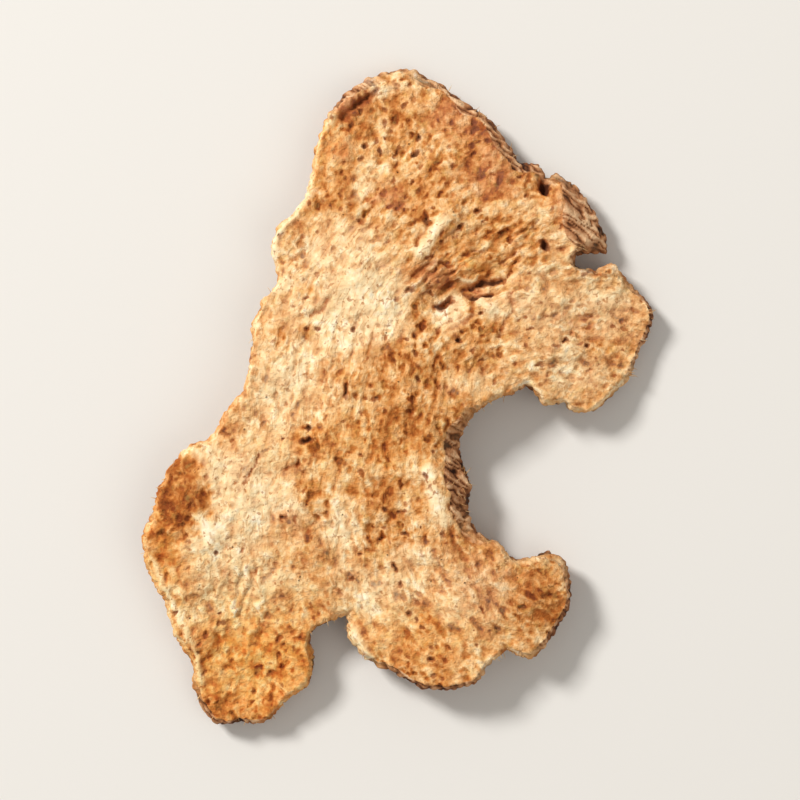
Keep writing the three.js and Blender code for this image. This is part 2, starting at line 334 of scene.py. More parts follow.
def strand_coordinates(places):
    """How far along and how far across the strands each corner is, in millimetres."""
    low, high = places[:, :2].min(axis=0), places[:, :2].max(axis=0)
    steps = [np.arange(low[i] - GRID_STEP, high[i] + 2 * GRID_STEP, GRID_STEP) for i in (0, 1)]
    grid = np.stack(np.meshgrid(*steps, indexing="ij"), axis=-1)
    points = np.column_stack([grid.reshape(-1, 2), np.zeros(grid.size // 2)])
    forward = strand_directions(points)[:, :2].reshape(grid.shape)
    sideways = np.stack([-forward[..., 1], forward[..., 0]], axis=-1)
    cells = (places[:, :2] - grid[0, 0]) / GRID_STEP
    rows = np.column_stack([read_grid(heights(slopes), cells) for slopes in (forward, sideways)])
    return relax(rows, edges, GRID_ROUNDS)


JUMBLE = 0.34  # mm, how far the strands wander from their line
JUMBLE_SIZE = 1.2  # mm
along, across = strand_coordinates(places).T
along = along + JUMBLE * make_noise(3)(places / JUMBLE_SIZE)
across = across + JUMBLE * make_noise(4)(places / JUMBLE_SIZE)


def strokes(noise, length, width):
    """Noise in strokes of this length along the strands and this width across them."""
    return even(noise(np.column_stack([along / length, across / width, places[:, 2] / (2 * width)])))


print("the strands run over, mm:", np.ptp(along).round(1), "and across:", np.ptp(across).round(1))

# %% [markdown]
# ## Patches of colour
# A dried slice isn't one colour. Starchy places stay cream, the resin turns others rust brown, and the
# thin end of a lobe has gone golden in the sun. Some patches also carry painted light and shade: pale
# ones where the surface faces the key light, and rusty and pink ones for the shadows in the valley and
# beside the crown's flap and for the shade along the edges that face away from the light. Such patches
# have a place, so they are written down as soft spots. A spot is an ellipse, and its edge is made ragged
# by shifting the point that is asked for by noise.

# %% How pale, rusty or golden each corner is
PATCHES = {  # x, y, half its size along x and y, and how strong
    "pale": [
        # partly cream flesh, partly painted light where the surface faces the key light
        ("left of the middle", -7.5, 7.5, 5, 8, 0.62),
        ("right of the neck", -2, 6.2, 2.4, 2.6, 0.5),
        ("root of the strands", -3, 10.5, 4, 3.5, 0.8),
        ("along the left rim", -13, 1, 2.5, 6, 0.4),
        ("below the ridge", -5, 16, 3.5, 2, 0.5),
        ("crown", -4, 21.5, 1, 1.8, 0.7),
        ("crown, upper", -1.2, 27.5, 1.5, 1.2, 0.5),
        ("crown, top", -1, 31.8, 2, 0.9, 0.6),
        # painted light: facets that face the key light
        ("facet beside the valley", 5, 8.4, 1.2, 1.6, 1.4),
        ("facet below the valley", 9.2, 9.2, 1.2, 1.7, 1.2),
        ("left of the knob", 12.7, 18.9, 1.8, 1.1, 0.5),
        ("round the black hole", 15.8, 15.6, 1.8, 1.4, 0.4),
        ("right of the valley", 14, 13.2, 1.6, 1.3, 0.6),
        ("neck, brightest", -5.2, 5.2, 1.0, 0.9, 0.8),
        ("neck, small", -2.8, 8.3, 0.6, 0.8, 0.7),
        ("left rim", -11.8, 11.6, 0.6, 0.9, 0.9),
        ("above the neck", -8.8, 15, 1.2, 0.9, 0.7),
        ("neck, low left", -10.8, 2.0, 1.4, 1.3, 0.7),
        ("below the neck", -12, -3, 3.5, 4, 0.3),
        ("right lobe", 12.5, 9.5, 1.8, 1.6, 0.6),
        ("right lobe, upper", 20.8, 9.8, 2.2, 1.5, 0.6),
        ("end of the right lobe", 18, 1.6, 3, 1.6, 0.4),
        # partly cream flesh, partly painted light where the shoulder faces the key light
        ("left shoulder", -19, -13, 2.6, 4.5, 1.0),
        ("left shoulder, upper", -18.5, -7.5, 4.5, 2.2, 1.1),
        ("left shoulder, inner", -14, -11.5, 2.8, 3.8, 0.9),
        ("foot of the shoulder", -13, -19, 3, 1.5, 0.8),
        ("inside the shoulder", -10.8, -11.2, 1.6, 3, 0.5),
        ("between the lower lobes", -6, -13.5, 1.4, 4, 0.8),
        ("above the lower notch", -2.5, -20, 3.2, 2, 0.8),
        ("middle of the lower right lobe", 1.2, -16.2, 1.6, 1.2, 0.7),
        ("lower right lobe", 5, -22, 1.5, 1.6, 0.5),
        ("whole right lobe", 18, 7, 7, 5, 0.5),
        ("whole lower right lobe", 4, -21, 8, 5, 0.35),
        ("whole lower left lobe", -17, -21, 5, 6, 0.5),
        ("knob", 18.6, 17.6, 2.2, 3.4, 0.3),
        ("foot of the knob", 19.8, 16.4, 1.2, 1.4, 0.5),
        ("crown, left", -2.5, 23.4, 1.2, 1.4, 0.4),
        ("bay's upper edge", 6.5, 1.5, 2.5, 1.2, 0.4),
    ],
    "rust": [
        # painted shadow: the shade between the crown's flap and the face
        ("inside the crown's flap", -4.6, 29.4, 1.4, 1.6, 0.9),
        ("left of the crown", -6.5, 25, 1.2, 1.6, 0.6),
        ("right side of the crown", 10, 21.5, 2.4, 1.2, 0.8),
        ("crown, right", 5, 22, 5, 6, 0.1),
        ("band across the crown", -2, 19.4, 3, 1.0, 0.6),
        ("valley", 3.6, 12, 3.4, 1.5, 0.5),
        # partly rust, partly a painted shadow along the valley's floor
        ("floor of the valley", 8.4, 10.7, 1.8, 0.5, 0.8),
        ("beside the slit of the neck", -9.6, 10.4, 0.7, 0.9, 0.7),
        ("under the slit of the neck", -9.3, 6.5, 0.7, 1.0, 0.9),
        ("left of the neck", -12.1, 6.1, 0.7, 1.0, 0.8),
        ("right of the neck", -3.1, 4.7, 0.7, 0.6, 0.8),
        ("strands of the neck", -5.8, 2.4, 1.8, 1.6, 0.4),
        ("above the knob's foot", 13.5, 15.5, 2.5, 2.5, 0.35),
        ("above the valley", 9, 15.3, 4.5, 1.3, 0.35),
        ("left end of the valley", 2.2, 8.6, 1.2, 2, 0.6),
        ("cracks of the right lobe", 8.8, 7.2, 2.6, 2, 0.45),
        ("middle", 0, 2.6, 3.2, 2.6, 0.5),
        ("below the middle", 0.5, -2, 2.5, 2, 0.5),
        ("beside the bay's lip", -0.8, -10, 2.4, 3, 0.65),
        ("right lobe, middle", 18.5, 7, 1.2, 1.2, 0.7),
        ("right lobe, low", 21, 5, 2.5, 1, 0.4),
        ("on the left shoulder", -22.1, -10.2, 1.9, 2.7, 6.0),
        ("top of the crown", 0, 28, 6, 4, 0.1),
        ("below it", -24, -14.6, 1.3, 2, 0.9),
        ("shoulder's inner side", -11.9, -12.6, 1.2, 1.8, 0.7),
        ("shoulder's foot", -9.2, -9, 1.3, 1.2, 0.7),
        ("notch of the middle", -9.3, -4.3, 1.2, 1.2, 0.8),
        ("lower left lobe", -18, -26, 2.6, 1.2, 0.7),
        ("lower left lobe, right", -10.4, -27.6, 1.3, 1.2, 0.9),
        ("lower left lobe, middle", -14.6, -24.4, 1, 1.6, 0.5),
        ("row of pits", 2.8, -23.6, 2, 2, 0.5),
        # partly rust, partly painted shade on the curled tip
        ("tip of the lower right lobe", 14.6, -19.6, 2.4, 4.2, 1.0),
        ("notch of the lower right lobe", 10.9, -25.6, 0.8, 0.6, 1.2),
        ("whole middle", 1, -7, 6, 9, 0.14),
        ("whole crown", 4, 23, 8, 8, 0.1),
        ("left edge of the crown", -8.6, 24.5, 1.2, 4, 0.5),
        # painted shade along the edges that face away from the key light
        ("right edge of the crown", 6.3, 30, 2.4, 1.7, 1.2),
        ("right edge, lower", 10.4, 25.8, 2.4, 2.2, 1.1),
        ("lower edge of the lower right lobe", 4, -28.8, 5, 1.2, 1.0),
        ("tip of the lower left lobe", -17, -32.3, 4, 1.4, 0.9),
    ],
    "combed": [
        ("valley", 4, 12.2, 4, 2, 1.0),
        ("towards the knob", 11, 16, 4, 2, 0.8),
        ("crown", 0, 24.5, 6, 6, 0.3),
        ("neck", -6.5, 2.5, 2, 2.5, 0.3),
        ("lower left lobe", -16, -21, 3, 4, 0.8),
        ("fan", -5, -14, 2.5, 4, 0.7),
        ("lower right lobe", 3, -19, 4, 3, 0.4),
        ("right lobe", 15, 8, 5, 3, 0.3),
    ],
    "pink": [
        ("crown's flap", -5.2, 30.3, 1.8, 2.0, 1.0),
        ("left of the crown", -6.2, 25.3, 1.4, 1.4, 0.8),
        ("band across the crown", -1.3, 19.9, 1.8, 1.0, 0.7),
        ("valley", 3.6, 12.3, 3, 1.5, 0.6),
        # partly pink, partly a painted shadow along the valley's floor
        ("floor of the valley", 8.2, 10.8, 1.3, 0.6, 1.0),
        ("knob", 18.2, 18.8, 2, 2.6, 0.9),
        ("right lobe", 18.5, 7, 1.6, 1.4, 0.6),
        ("beside the shoulder", -11.8, -12.2, 1.2, 1.2, 0.5),
        ("lower right lobe", 8, -19, 4, 3, 0.4),
        # painted shade along the crown's right edge
        ("right edge of the crown", 6, 29, 3, 2.4, 0.7),
        ("right edge, lower", 10, 25, 2.5, 2.5, 0.7),
        ("right side of the crown", 9, 21.5, 3, 1.5, 0.5),
    ],
    "golden": [
        ("lower left lobe", -15, -27, 8, 7, 0.85),
        ("rim of the left shoulder", -24, -15.5, 2, 4, 0.55),
        ("flake in the valley", 7.4, 13, 1.6, 0.9, 0.8),
        ("crown", -7, 26, 3, 3, 0.4),
        ("lower right lobe", 3, -24, 6, 4, 0.35),
        ("middle", -6, -5, 8, 3, 0.3),
    ],
}
RAGGED = ((2.6, 1.1, 5), (0.9, 0.55, 7))  # two noises: size and reach in mm, and seed
MOST_TINT = 2.6  # a patch stronger than this is even inside, with a firm edge


def shifted(places, *noises):
    """The same places, moved level by noise after noise. Each is a size and a reach in mm, and a seed."""
    for size, reach, seed in noises:
        moved = places.copy()
        moved[:, 0] += reach * make_noise(seed)(places / size)
        moved[:, 1] += reach * make_noise(seed + 1)(places / size)
        places = moved
    return places


def patch(name):
    """How strongly the patches of one name colour each corner."""
    total = np.zeros(len(places))
    for _, x, y, half_x, half_y, strength in PATCHES[name]:
        away = ((asked[:, 0] - x) / half_x) ** 2 + ((asked[:, 1] - y) / half_y) ** 2
        total += strength * np.exp(-away)
    return total


asked = shifted(places, *RAGGED)
tints = {name: np.minimum(patch(name), MOST_TINT) for name in PATCHES}
print("patches:", {name: len(spots) for name, spots in PATCHES.items()})

# %% [markdown]
# ## Relief of the cut faces
# A dried cut face is a sponge. It shrank between its strands, so its pale skin is full of hollows, and
# in some places the strands themselves stand up like the teeth of a comb. Hollows are the low part of a
# noise, cut off at a share of the face, so that what is left between them stays one even net. The pale
# places dried hard and smooth, so they have fewer.

# %% Hollows, strands and crumbs
WIDE_HOLLOW = (1.15, 0.9)  # mm along and across the strands
SMALL_HOLLOW = (0.75, 0.52)
HOLLOW_SHARE = 0.5  # of the face is hollows
DEEPEST_SHARE = 0.995  # of the face lies above the bottom of the hollows
CALM = 0.55  # how far a pale place keeps its hollows shallow
COMB_HEIGHT = 0.11  # mm
CRUMB_HEIGHT = 0.05
WIDE_HOLLOW_DEPTH = 0.15
SMALL_HOLLOW_DEPTH = 0.09


def hollows(noise, length, width):
    """1 at the bottom of the hollows, and 0 between them."""
    values = strokes(noise, length, width) - CALM * np.clip(tints["pale"] - tints["rust"], -1, 1)
    return ramp(values, np.quantile(values, 1 - HOLLOW_SHARE), np.quantile(values, DEEPEST_SHARE))


wide_hollows = hollows(make_noise(11), *WIDE_HOLLOW)
small_hollows = hollows(make_noise(12), *SMALL_HOLLOW)
fine_strands = strokes(make_noise(13), 2.2, 0.62) + 0.5 * strokes(make_noise(16), 1.1, 0.42)
crumbs = even(make_noise(14)(places / 1.2) + 0.7 * make_noise(15)(places / 0.6))
combed = patch("combed")
face_relief = COMB_HEIGHT * combed * fine_strands + CRUMB_HEIGHT * crumbs
face_relief -= WIDE_HOLLOW_DEPTH * wide_hollows + SMALL_HOLLOW_DEPTH * small_hollows
print("relief of the cut faces, mm:", face_relief.min().round(2), "to", face_relief.max().round(2))

# %% [markdown]
# ## Cracks, folds and ridges
# A few lines give this slice its face: the cracks of the valley before the right lobe, the smooth ridge
# that rises from it, the slits of the strands and the torn edges. Some of their dark and pale is painted
# shadow and highlight, as noted beside each. Each is a line through a few points, and its cross-section
# is a soft groove, or a ridge where the depth is negative. The point that is asked for is shifted by
# noise again, so that no line is ruled.

# %% Lines on the upper face
LINES = [  # half its width and its depth in mm, how dark and how pale it is, and its points
    # painted shadow: the shade between the crown's flap and the face
    ("inside the crown's flap", 0.34, 0.36, 0.8, 0, [(-5.8, 28.3), (-4.2, 29.9), (-2.4, 31.3)]),
    ("crown's flap", 0.55, -0.35, 0, 0.5, [(-6.7, 28.8), (-5.2, 30.5), (-3.2, 32.0)]),
    # partly cracks, partly a painted shadow along the valley's crevice below the flake
    ("floor of the valley", 0.22, 0.4, 1.1, 0, [(7.0, 11.0), (8.2, 11.4), (9.2, 11.6), (10.2, 12.0)]),
    ("foot of the valley", 0.18, 0.38, 1.1, 0, [(6.6, 10.3), (7.9, 10.1), (9.3, 10.4)]),
    # painted highlight on the lit edge of the flake
    ("edge of the flake", 0.24, -0.14, 0, 1.1, [(5.8, 12.1), (6.8, 11.7), (7.7, 12.0)]),
    ("right end of the valley", 0.22, 0.3, 0.7, 0, [(10.5, 11.8), (11.1, 12.7)]),
    ("left end of the valley", 0.3, 0.34, 1.1, 0, [(3.7, 9.0), (4.5, 9.3), (5.2, 9.7)]),
    ("top of the valley, left", 0.24, 0.2, 0.5, 0, [(1.4, 12.2), (2.4, 13.0), (3.6, 13.7)]),
    ("top of the valley", 0.16, 0.26, 0.7, 0, [(4.1, 13.5), (5.3, 13.3)]),
    ("over the flake", 0.14, 0.2, 0.5, 0, [(7.4, 14.6), (9.1, 14.9)]),
    ("strand in the valley", 0.16, 0.24, 0.6, 0, [(4.3, 10.9), (5.0, 11.2), (5.8, 11.8)]),
    ("strand above it", 0.13, 0.2, 0.5, 0, [(3.6, 12.0), (4.8, 12.4), (5.6, 12.9)]),
    ("strand below it", 0.13, 0.2, 0.5, 0, [(2.0, 10.2), (3.3, 11.2)]),
    ("towards the knob", 0.18, 0.28, 0.75, 0, [(10.1, 13.5), (10.9, 13.9), (11.7, 14.7)]),
    ("under that", 0.14, 0.2, 0.5, 0, [(11.4, 13.2), (12.6, 14.2)]),
    ("above that", 0.16, 0.2, 0.45, 0, [(11.3, 16.3), (12.5, 16.7)]),
    ("further up", 0.16, 0.2, 0.5, 0, [(13.2, 17.0), (14.0, 18.0)]),
    ("crack of the right lobe", 0.24, 0.24, 0.5, 0, [(11.2, 10.5), (11.6, 8.7), (10.6, 7.7), (9.9, 6.2)]),
    ("rusty crack beside it", 0.3, 0.22, 0.55, 0, [(7.3, 9.9), (7.3, 8.7), (6.5, 7.6)]),
    # painted shadow on both sides of the ridge
    ("beside the ridge", 0.26, 0.2, 0.45, 0, [(1.5, 15.4), (2.4, 16.6), (3.2, 17.6)]),
    ("under the ridge", 0.26, 0.16, 0.35, 0, [(3.2, 14.2), (4.4, 15.6), (6.0, 17.2)]),
    # partly the ridge's smooth cream, partly a painted highlight on its lit side
    ("ridge", 0.54, -0.18, 0, 1.3, [(2.0, 14.5), (3.2, 16.2), (4.5, 17.9)]),
    ("cleft of the knob", 0.34, 0.5, 1.2, 0, [(14.5, 22.1), (14.9, 20.9)]),
    ("notch, upper edge", 0.2, 0.1, 0.6, 0, [(18.6, 12.5), (19.9, 12.9), (21.0, 12.3)]),
    ("curved slit of the neck", 0.24, 0.24, 0.45, 0, [(-7.4, 9.8), (-7.9, 9.0), (-9.2, 8.3)]),
    ("slit below it", 0.2, 0.2, 0.4, 0, [(-9.1, 7.4), (-9.9, 5.8)]),
    ("strands of the neck, left", 0.2, 0.16, 0.25, 0, [(-6.5, 4.3), (-7.1, 2.8), (-7.8, 1.2)]),
    ("strands of the neck, right", 0.18, 0.14, 0.25, 0, [(-5.9, 2.9), (-7.2, 0.1)]),
    ("hair crack of the shoulder", 0.1, 0.18, 0.7, 0, [(-14.2, -5.6), (-14.7, -7.2), (-15.9, -8.8)]),
    ("upper crack of the shoulder", 0.16, 0.18, 0.45, 0, [(-10.3, -6.8), (-11.9, -7.5)]),
    ("shoulder, inner slit", 0.14, 0.16, 0.4, 0, [(-8.2, -12.2), (-9.4, -13.6)]),
    ("lower left lobe, long slit", 0.2, 0.2, 0.38, 0, [(-16.0, -18.2), (-16.7, -20.0), (-17.0, -21.4)]),
    ("lower left lobe, second slit", 0.18, 0.18, 0.32, 0, [(-15.1, -18.5), (-15.8, -20.6), (-16.5, -22.3)]),
    ("lower left lobe, third slit", 0.18, 0.18, 0.32, 0, [(-14.2, -22.8), (-15.1, -25.3)]),
    ("lower right lobe, slit", 0.18, 0.2, 0.4, 0, [(3.5, -16.3), (4.7, -18.1)]),
    ("lower right lobe, upper slit", 0.17, 0.18, 0.4, 0, [(5.5, -14.6), (6.3, -15.8)]),
    ("lip of the bay", 0.75, -0.12, 0, 1.5, [(2.8, -7.6), (3.3, -9.6), (4.4, -12.4)]),
    # painted highlight on the torn edge that faces the key light
    ("torn edge of the lower notch", 0.4, 0, 0, 1.6, [(-5.7, -22.7), (-4.5, -24.5), (-3.1, -26.8)]),
    # partly pale flesh, partly painted light on a facet that faces the key light
    ("facet of the shoulder", 0.55, -0.12, 0, 1.2, [(-20.6, -12.0), (-18.8, -14.6)]),
    ("strand of the fan", 0.24, -0.14, 0, 1.0, [(-6.9, -10.6), (-5.4, -13.9)]),
    ("second strand of the fan", 0.2, -0.12, 0, 0.7, [(-4.6, -12.0), (-3.6, -15.2)]),
    # pale rims on the left side: partly pale flesh, partly a painted highlight where the edge faces the key
    # light
    ("rim of the crown", 0.34, -0.1, 0, 0.9, [(-8.0, 26.6), (-8.7, 24.2), (-9.0, 21.2), (-10.4, 18.7)]),
    ("rim below it", 0.34, -0.1, 0, 1.0, [(-10.4, 18.7), (-11.9, 17.3), (-12.5, 15.4), (-12.7, 13.4)]),
    ("rim of the lower left lobe", 0.3, -0.1, 0, 1.1, [(-25.3, -16.2), (-23.2, -20.6), (-20.9, -25.7)]),
    ("rim of its tip", 0.28, -0.08, 0, 1.0, [(-20.9, -25.7), (-20.3, -29.1)]),
]
BREAKS = 0.35  # how much of a dark line comes and goes along it
BREAK_SIZE = 0.75  # mm
LINE_WAVER = ((1.1, 0.3, 27), (0.45, 0.12, 29))  # size and reach in mm, and seed
RIDGE_SMOOTH = 0.8  # how far a ridge is free of hollows


def distance_to_line(points, level_places):
    """How far each place is, seen from above, from a line through these points."""
    least = np.full(len(level_places), np.inf)
    for start, end in zip(np.array(points[:-1]), np.array(points[1:])):
        step = end - start
        share = np.clip((level_places - start) @ step / (step @ step), 0, 1)
        least = np.minimum(least, np.linalg.norm(level_places - start - share[:, None] * step, axis=1))
    return least


line_places = shifted(places, *LINE_WAVER)[:, :2]
broken = 1 - BREAKS * ramp(make_noise(30)(places / BREAK_SIZE), -0.1, 0.5)
line_depth = np.zeros(len(places))
dark_lines_and_shadows = np.zeros(len(places))
pale_lines_and_highlights = np.zeros(len(places))
for _, half_width, depth, dark, pale, points in LINES:
    shape = np.exp(-((distance_to_line(points, line_places) / half_width) ** 2)) * is_top
    line_depth += depth * shape * (broken if dark else 1)
    dark_lines_and_shadows = np.maximum(dark_lines_and_shadows, dark * shape * broken)
    pale_lines_and_highlights = np.maximum(pale_lines_and_highlights, pale * shape)
smooth = RIDGE_SMOOTH * np.clip(pale_lines_and_highlights, 0, 1)
print("lines:", len(LINES), "deepest, mm:", line_depth.max().round(2))

# %% [markdown]
# ## Pits
# The pits lie at random, in loose groups, and the long ones follow the strands. The largest are what
# the eye knows the slice by, so they are placed one by one. Each is a name, a place and a shape.

# %% Pits placed one by one
PITS = [  # x, y, half its width and length in millimetres, and the direction of its length in degrees
    ("crown, top", 0.5, 29.8, 0.2, 0.5, 50),
    ("crown, top left", -1.5, 29.3, 0.22, 0.3, 0),
    ("crown, top right", 3.6, 29.1, 0.2, 0.25, 0),
    ("crown, round one", 1.8, 26.4, 0.26, 0.28, 0),
    ("crown, long one", -0.3, 24.9, 0.22, 0.75, 68),
    ("crown, beside it", -2.0, 25.0, 0.18, 0.4, 100),
    ("crown, left", -3.6, 25.5, 0.2, 0.3, 60),
    ("crown, slanting", 1.55, 24.7, 0.24, 0.5, 40),
    ("crown, right", 5.4, 23.5, 0.24, 0.36, 30),
    ("crown, right, small", 3.7, 23.2, 0.18, 0.25, 90),
    ("crown, middle", 1.2, 21.8, 0.2, 0.32, 50),
    ("crown, low left", -4.1, 17.8, 0.26, 0.28, 0),
    ("crown, large one", 2.55, 18.1, 0.32, 0.75, 95),
    ("crown, low", 1.5, 17.7, 0.2, 0.35, 60),
    ("crown, far right", 12.8, 20.4, 0.2, 0.32, 30),
    ("crown, right edge", 12.3, 22.4, 0.2, 0.35, -20),
    ("cleft of the knob", 14.8, 21.5, 0.5, 0.9, 80),
    ("black hole", 14.7, 15.4, 0.5, 0.62, 110),
    ("above the valley", 6.6, 14.4, 0.22, 0.6, 30),
    ("under the ridge", 4.2, 15.7, 0.2, 0.3, 0),
    ("valley, left end", 0.9, 10.8, 0.26, 0.55, 25),
    ("valley, left", 3.1, 10.5, 0.25, 0.3, 0),
    ("valley, low", 4.8, 9.7, 0.3, 0.65, 30),
    ("below the facet", 5.9, 5.7, 0.34, 0.38, 0),
    ("middle, top", 0.6, 5.8, 0.24, 0.26, 0),
    ("middle, rusty", 2.3, 7.1, 0.24, 0.5, 60),
    ("right lobe, near", 8.2, 8.5, 0.2, 0.35, 0),
    ("right lobe, flat", 13.3, 6.9, 0.16, 0.42, 25),
    ("right lobe, low", 16.9, 5.8, 0.22, 0.3, 0),
    ("right lobe, lower", 19.2, 5.2, 0.2, 0.3, 0),
    ("right lobe, end", 21.7, 7.2, 0.2, 0.3, 0),
    ("neck, top", -9.6, 9.9, 0.2, 0.32, 40),
    ("neck, round one", -8.3, 6.8, 0.25, 0.28, 0),
    ("neck, right", -4.7, 6.7, 0.2, 0.36, 70),
    ("middle, long one", -5.5, 0.6, 0.26, 0.75, 85),
    ("middle, pair, right", -2.4, -0.2, 0.25, 0.4, 20),
    ("middle, pair, left", -3.5, -0.2, 0.22, 0.3, -30),
    ("middle, three, top", 1.5, 4.4, 0.26, 0.42, -40),
    ("middle, three", 1.8, 3.1, 0.22, 0.42, -40),
    ("middle, three, low", 1.8, 1.8, 0.2, 0.4, -50),
    ("middle, left", -0.6, 3.6, 0.2, 0.36, -60),
    ("middle, rust", 1.0, -1.6, 0.26, 0.5, -20),
    ("shoulder, upper", -9.3, -3.2, 0.24, 0.36, 0),
    ("shoulder, large one", -9.4, -4.4, 0.32, 0.72, 10),
    ("shoulder, left", -11.9, -4.2, 0.2, 0.32, 0),
    ("shoulder, rusty", -11.8, -12.2, 0.28, 0.4, 0),
    ("shoulder, low", -18.7, -15.8, 0.2, 0.26, 0),
    ("centre, left", -6.4, -6.4, 0.25, 0.28, 0),
    ("centre, right", -4.0, -5.9, 0.23, 0.3, 0),
    ("beside the bay, left", -1.6, -11.3, 0.25, 0.42, -30),
    ("beside the bay", 0.0, -11.7, 0.24, 0.5, 20),
    ("low centre", 0.5, -13.9, 0.2, 0.36, 0),
    ("low centre, long", -2.0, -14.4, 0.24, 0.5, 55),
    ("low centre, left", -2.7, -13.2, 0.2, 0.26, 0),
    ("fan, left", -4.0, -16.0, 0.22, 0.28, 0),
    ("fan, long one", -0.5, -17.3, 0.2, 0.55, -70),
    ("fan, second", 0.0, -19.0, 0.22, 0.42, -65),
    ("fan, far left", -5.0, -18.4, 0.22, 0.3, 0),
    ("row, first", 0.9, -22.0, 0.22, 0.32, -50),
    ("row, second", 1.7, -22.7, 0.22, 0.32, -60),
    ("row, third", 2.3, -23.4, 0.2, 0.26, 0),
    ("lower right lobe", 4.9, -25.5, 0.22, 0.32, -50),
    ("lower right lobe, low", 3.2, -26.7, 0.3, 0.42, 0),
    ("lower right lobe, rim", 3.4, -28.3, 0.24, 0.3, 0),
    ("lower right lobe, right", 8.3, -21.6, 0.18, 0.45, -60),
    ("lower left lobe, top", -18.4, -22.0, 0.2, 0.26, 0),
    ("lower left lobe, flat", -18.3, -23.1, 0.18, 0.45, 25),
    ("lower left lobe, slit", -13.3, -28.3, 0.2, 0.62, 35),
    ("lower left lobe, right", -12.4, -26.4, 0.18, 0.42, 80),
    ("lower left lobe, tip", -15.0, -30.0, 0.2, 0.26, 0),
]
by_hand = np.array([row[1:] for row in PITS])
print("pits placed by hand:", len(by_hand))

# %% [markdown]
# ## The small pits and the dimples
# Hundreds more are too small to know one by one. They come from a grid whose spots are shaken out of
# their rows, and a noise decides which of them stay, so that they lie in groups. Dimples are shallower
# than pits and lie closer together. No small pit comes near one of those that are listed.

# %% Pits and dimples from a shaken grid
PIT_SPACING = 1.3  # mm
PIT_WIDTHS = (0.12, 0.25)  # half the width of the smallest and the largest, mm
DIMPLE_SPACING = 0.86
DIMPLE_WIDTHS = (0.15, 0.31)
LONGEST = 2.3  # length of the longest pits and dimples as a share of their width
CLEAR = 0.9  # mm between a listed pit and any other
GROUP_SIZE = 3.2  # mm
GROUPING = 0.45  # how far a group keeps more of its spots, and the space between groups fewer
low = places.min(axis=0)
high = places.max(axis=0)


def scattered(seed, spacing, widths, keep):
    """Rows of x, y, half width, half length and degrees, in groups, more of them small than large."""
    random = np.random.default_rng(seed)
    steps = [np.arange(low[i], high[i], spacing) for i in (0, 1)]
    spots = np.stack(np.meshgrid(*steps), axis=-1).reshape(-1, 2)
    spots = spots + random.uniform(-0.5, 0.5, spots.shape) * spacing
    groups = level_noise(lumps, spots / GROUP_SIZE, 60.5)
    spots = spots[random.random(len(spots)) < keep + GROUPING * groups]
    half_width = widths[0] + (widths[1] - widths[0]) * random.random(len(spots)) ** 2
    half_length = half_width * random.uniform(1.0, LONGEST, len(spots))
    return np.column_stack([spots, half_width, half_length, np.full(len(spots), np.nan)])


others = scattered(21, PIT_SPACING, PIT_WIDTHS, 0.45)
gaps = np.hypot(*(others[:, None, :2] - by_hand[None, :, :2]).transpose(2, 0, 1)).min(axis=1)
others = others[gaps > CLEAR]
others_below = scattered(23, PIT_SPACING, PIT_WIDTHS, 0.5)
dimples = scattered(25, DIMPLE_SPACING, DIMPLE_WIDTHS, 0.8)
print("small pits above:", len(others), "below:", len(others_below), "dimples:", len(dimples))

# %% [markdown]
# ## Dents
# A pit sinks the corners near it by a smooth dent, with a brown stain that is a little wider than the
# dent. A pit that was given no direction takes that of the strands it lies in. Pale places closed up as
# they dried, so the small pits and the dimples are shallow there.

# %% Sink the corners into the pits and the dimples
DEEP = 1.6  # depth of a pit as a share of half its width
DARKER = 1.3  # how much stronger a pit is for each mm of half its width
STAIN = 1.3  # how much wider than the dent its brown stain is
STRONG = (0.35, 0.65)  # the weakest and the strongest pit of a kind
FAINT = (0.0, 0.5)
DIMPLED = (0.0, 0.6)
DIMPLE_DEPTH = 0.5  # as a share of the depth of a pit
DIMPLE_GROUP = 2.3  # mm
PIT_WAVER = (0.5, 0.24, 17)  # size and reach in mm, and seed


def angle_vector(degrees):
    """A level direction, from its angle to the x axis."""
    return np.array([math.cos(math.radians(degrees)), math.sin(math.radians(degrees))])


def sink(pits, side, seed, strengths):
    """How far into a pit each corner of one face lies, from 0 to 1, and how deep that is in mm."""
    random = np.random.default_rng(seed)
    tree = search_tree(np.flatnonzero(side & (bark < 0.5)), pit_places * (1, 1, 0))
    inside = np.zeros(len(places))
    depth = np.zeros(len(places))
    for x, y, half_width, half_length, degrees in pits:
        near = [index for _, index, _ in tree.find_range((x, y, 0), half_length * STAIN)]
        strength = random.uniform(*strengths) + DARKER * half_width
        if not near:
            continue
        turn = strands[near[0], :2] if np.isnan(degrees) else angle_vector(degrees)
        offset = pit_places[near, :2] - (x, y)
        lengthwise = offset @ turn / half_length
        crosswise = (offset[:, 1] * turn[0] - offset[:, 0] * turn[1]) / half_width
        out = lengthwise * lengthwise + crosswise * crosswise
        dent = np.clip(1 - out, 0, 1)
        stain = np.clip(1 - out / STAIN**2, 0, 1)
        inside[near] = np.maximum(inside[near], stain**0.7 * strength)
        depth[near] = np.maximum(depth[near], dent * half_width * DEEP * strength)
    return np.array([inside, depth])


pit_places = shifted(places, PIT_WAVER)
closed = 1 - CALM * np.clip(tints["pale"] - tints["rust"], 0, 1)
dents = [sink(by_hand, is_top, 22, STRONG)]
dents += [sink(others, is_top, 22, FAINT) * closed, sink(others_below, ~is_top, 24, FAINT) * closed]
pit, pit_depth = np.max(dents, axis=0)
dents = [sink(dimples, side, 26, DIMPLED) for side in (is_top, ~is_top)]
dimple, dimple_depth = np.max(dents, axis=0)
groups = 0.45 + 1.1 * ramp(lumps(places / DIMPLE_GROUP + 70), -0.35, 0.4)
dimple = np.clip(dimple * groups * (1 - smooth), 0, 1)
dimple_depth *= DIMPLE_DEPTH * closed * groups * (1 - smooth)
print("deepest pit, mm:", pit_depth.max().round(2), "deepest dimple, mm:", dimple_depth.max().round(2))

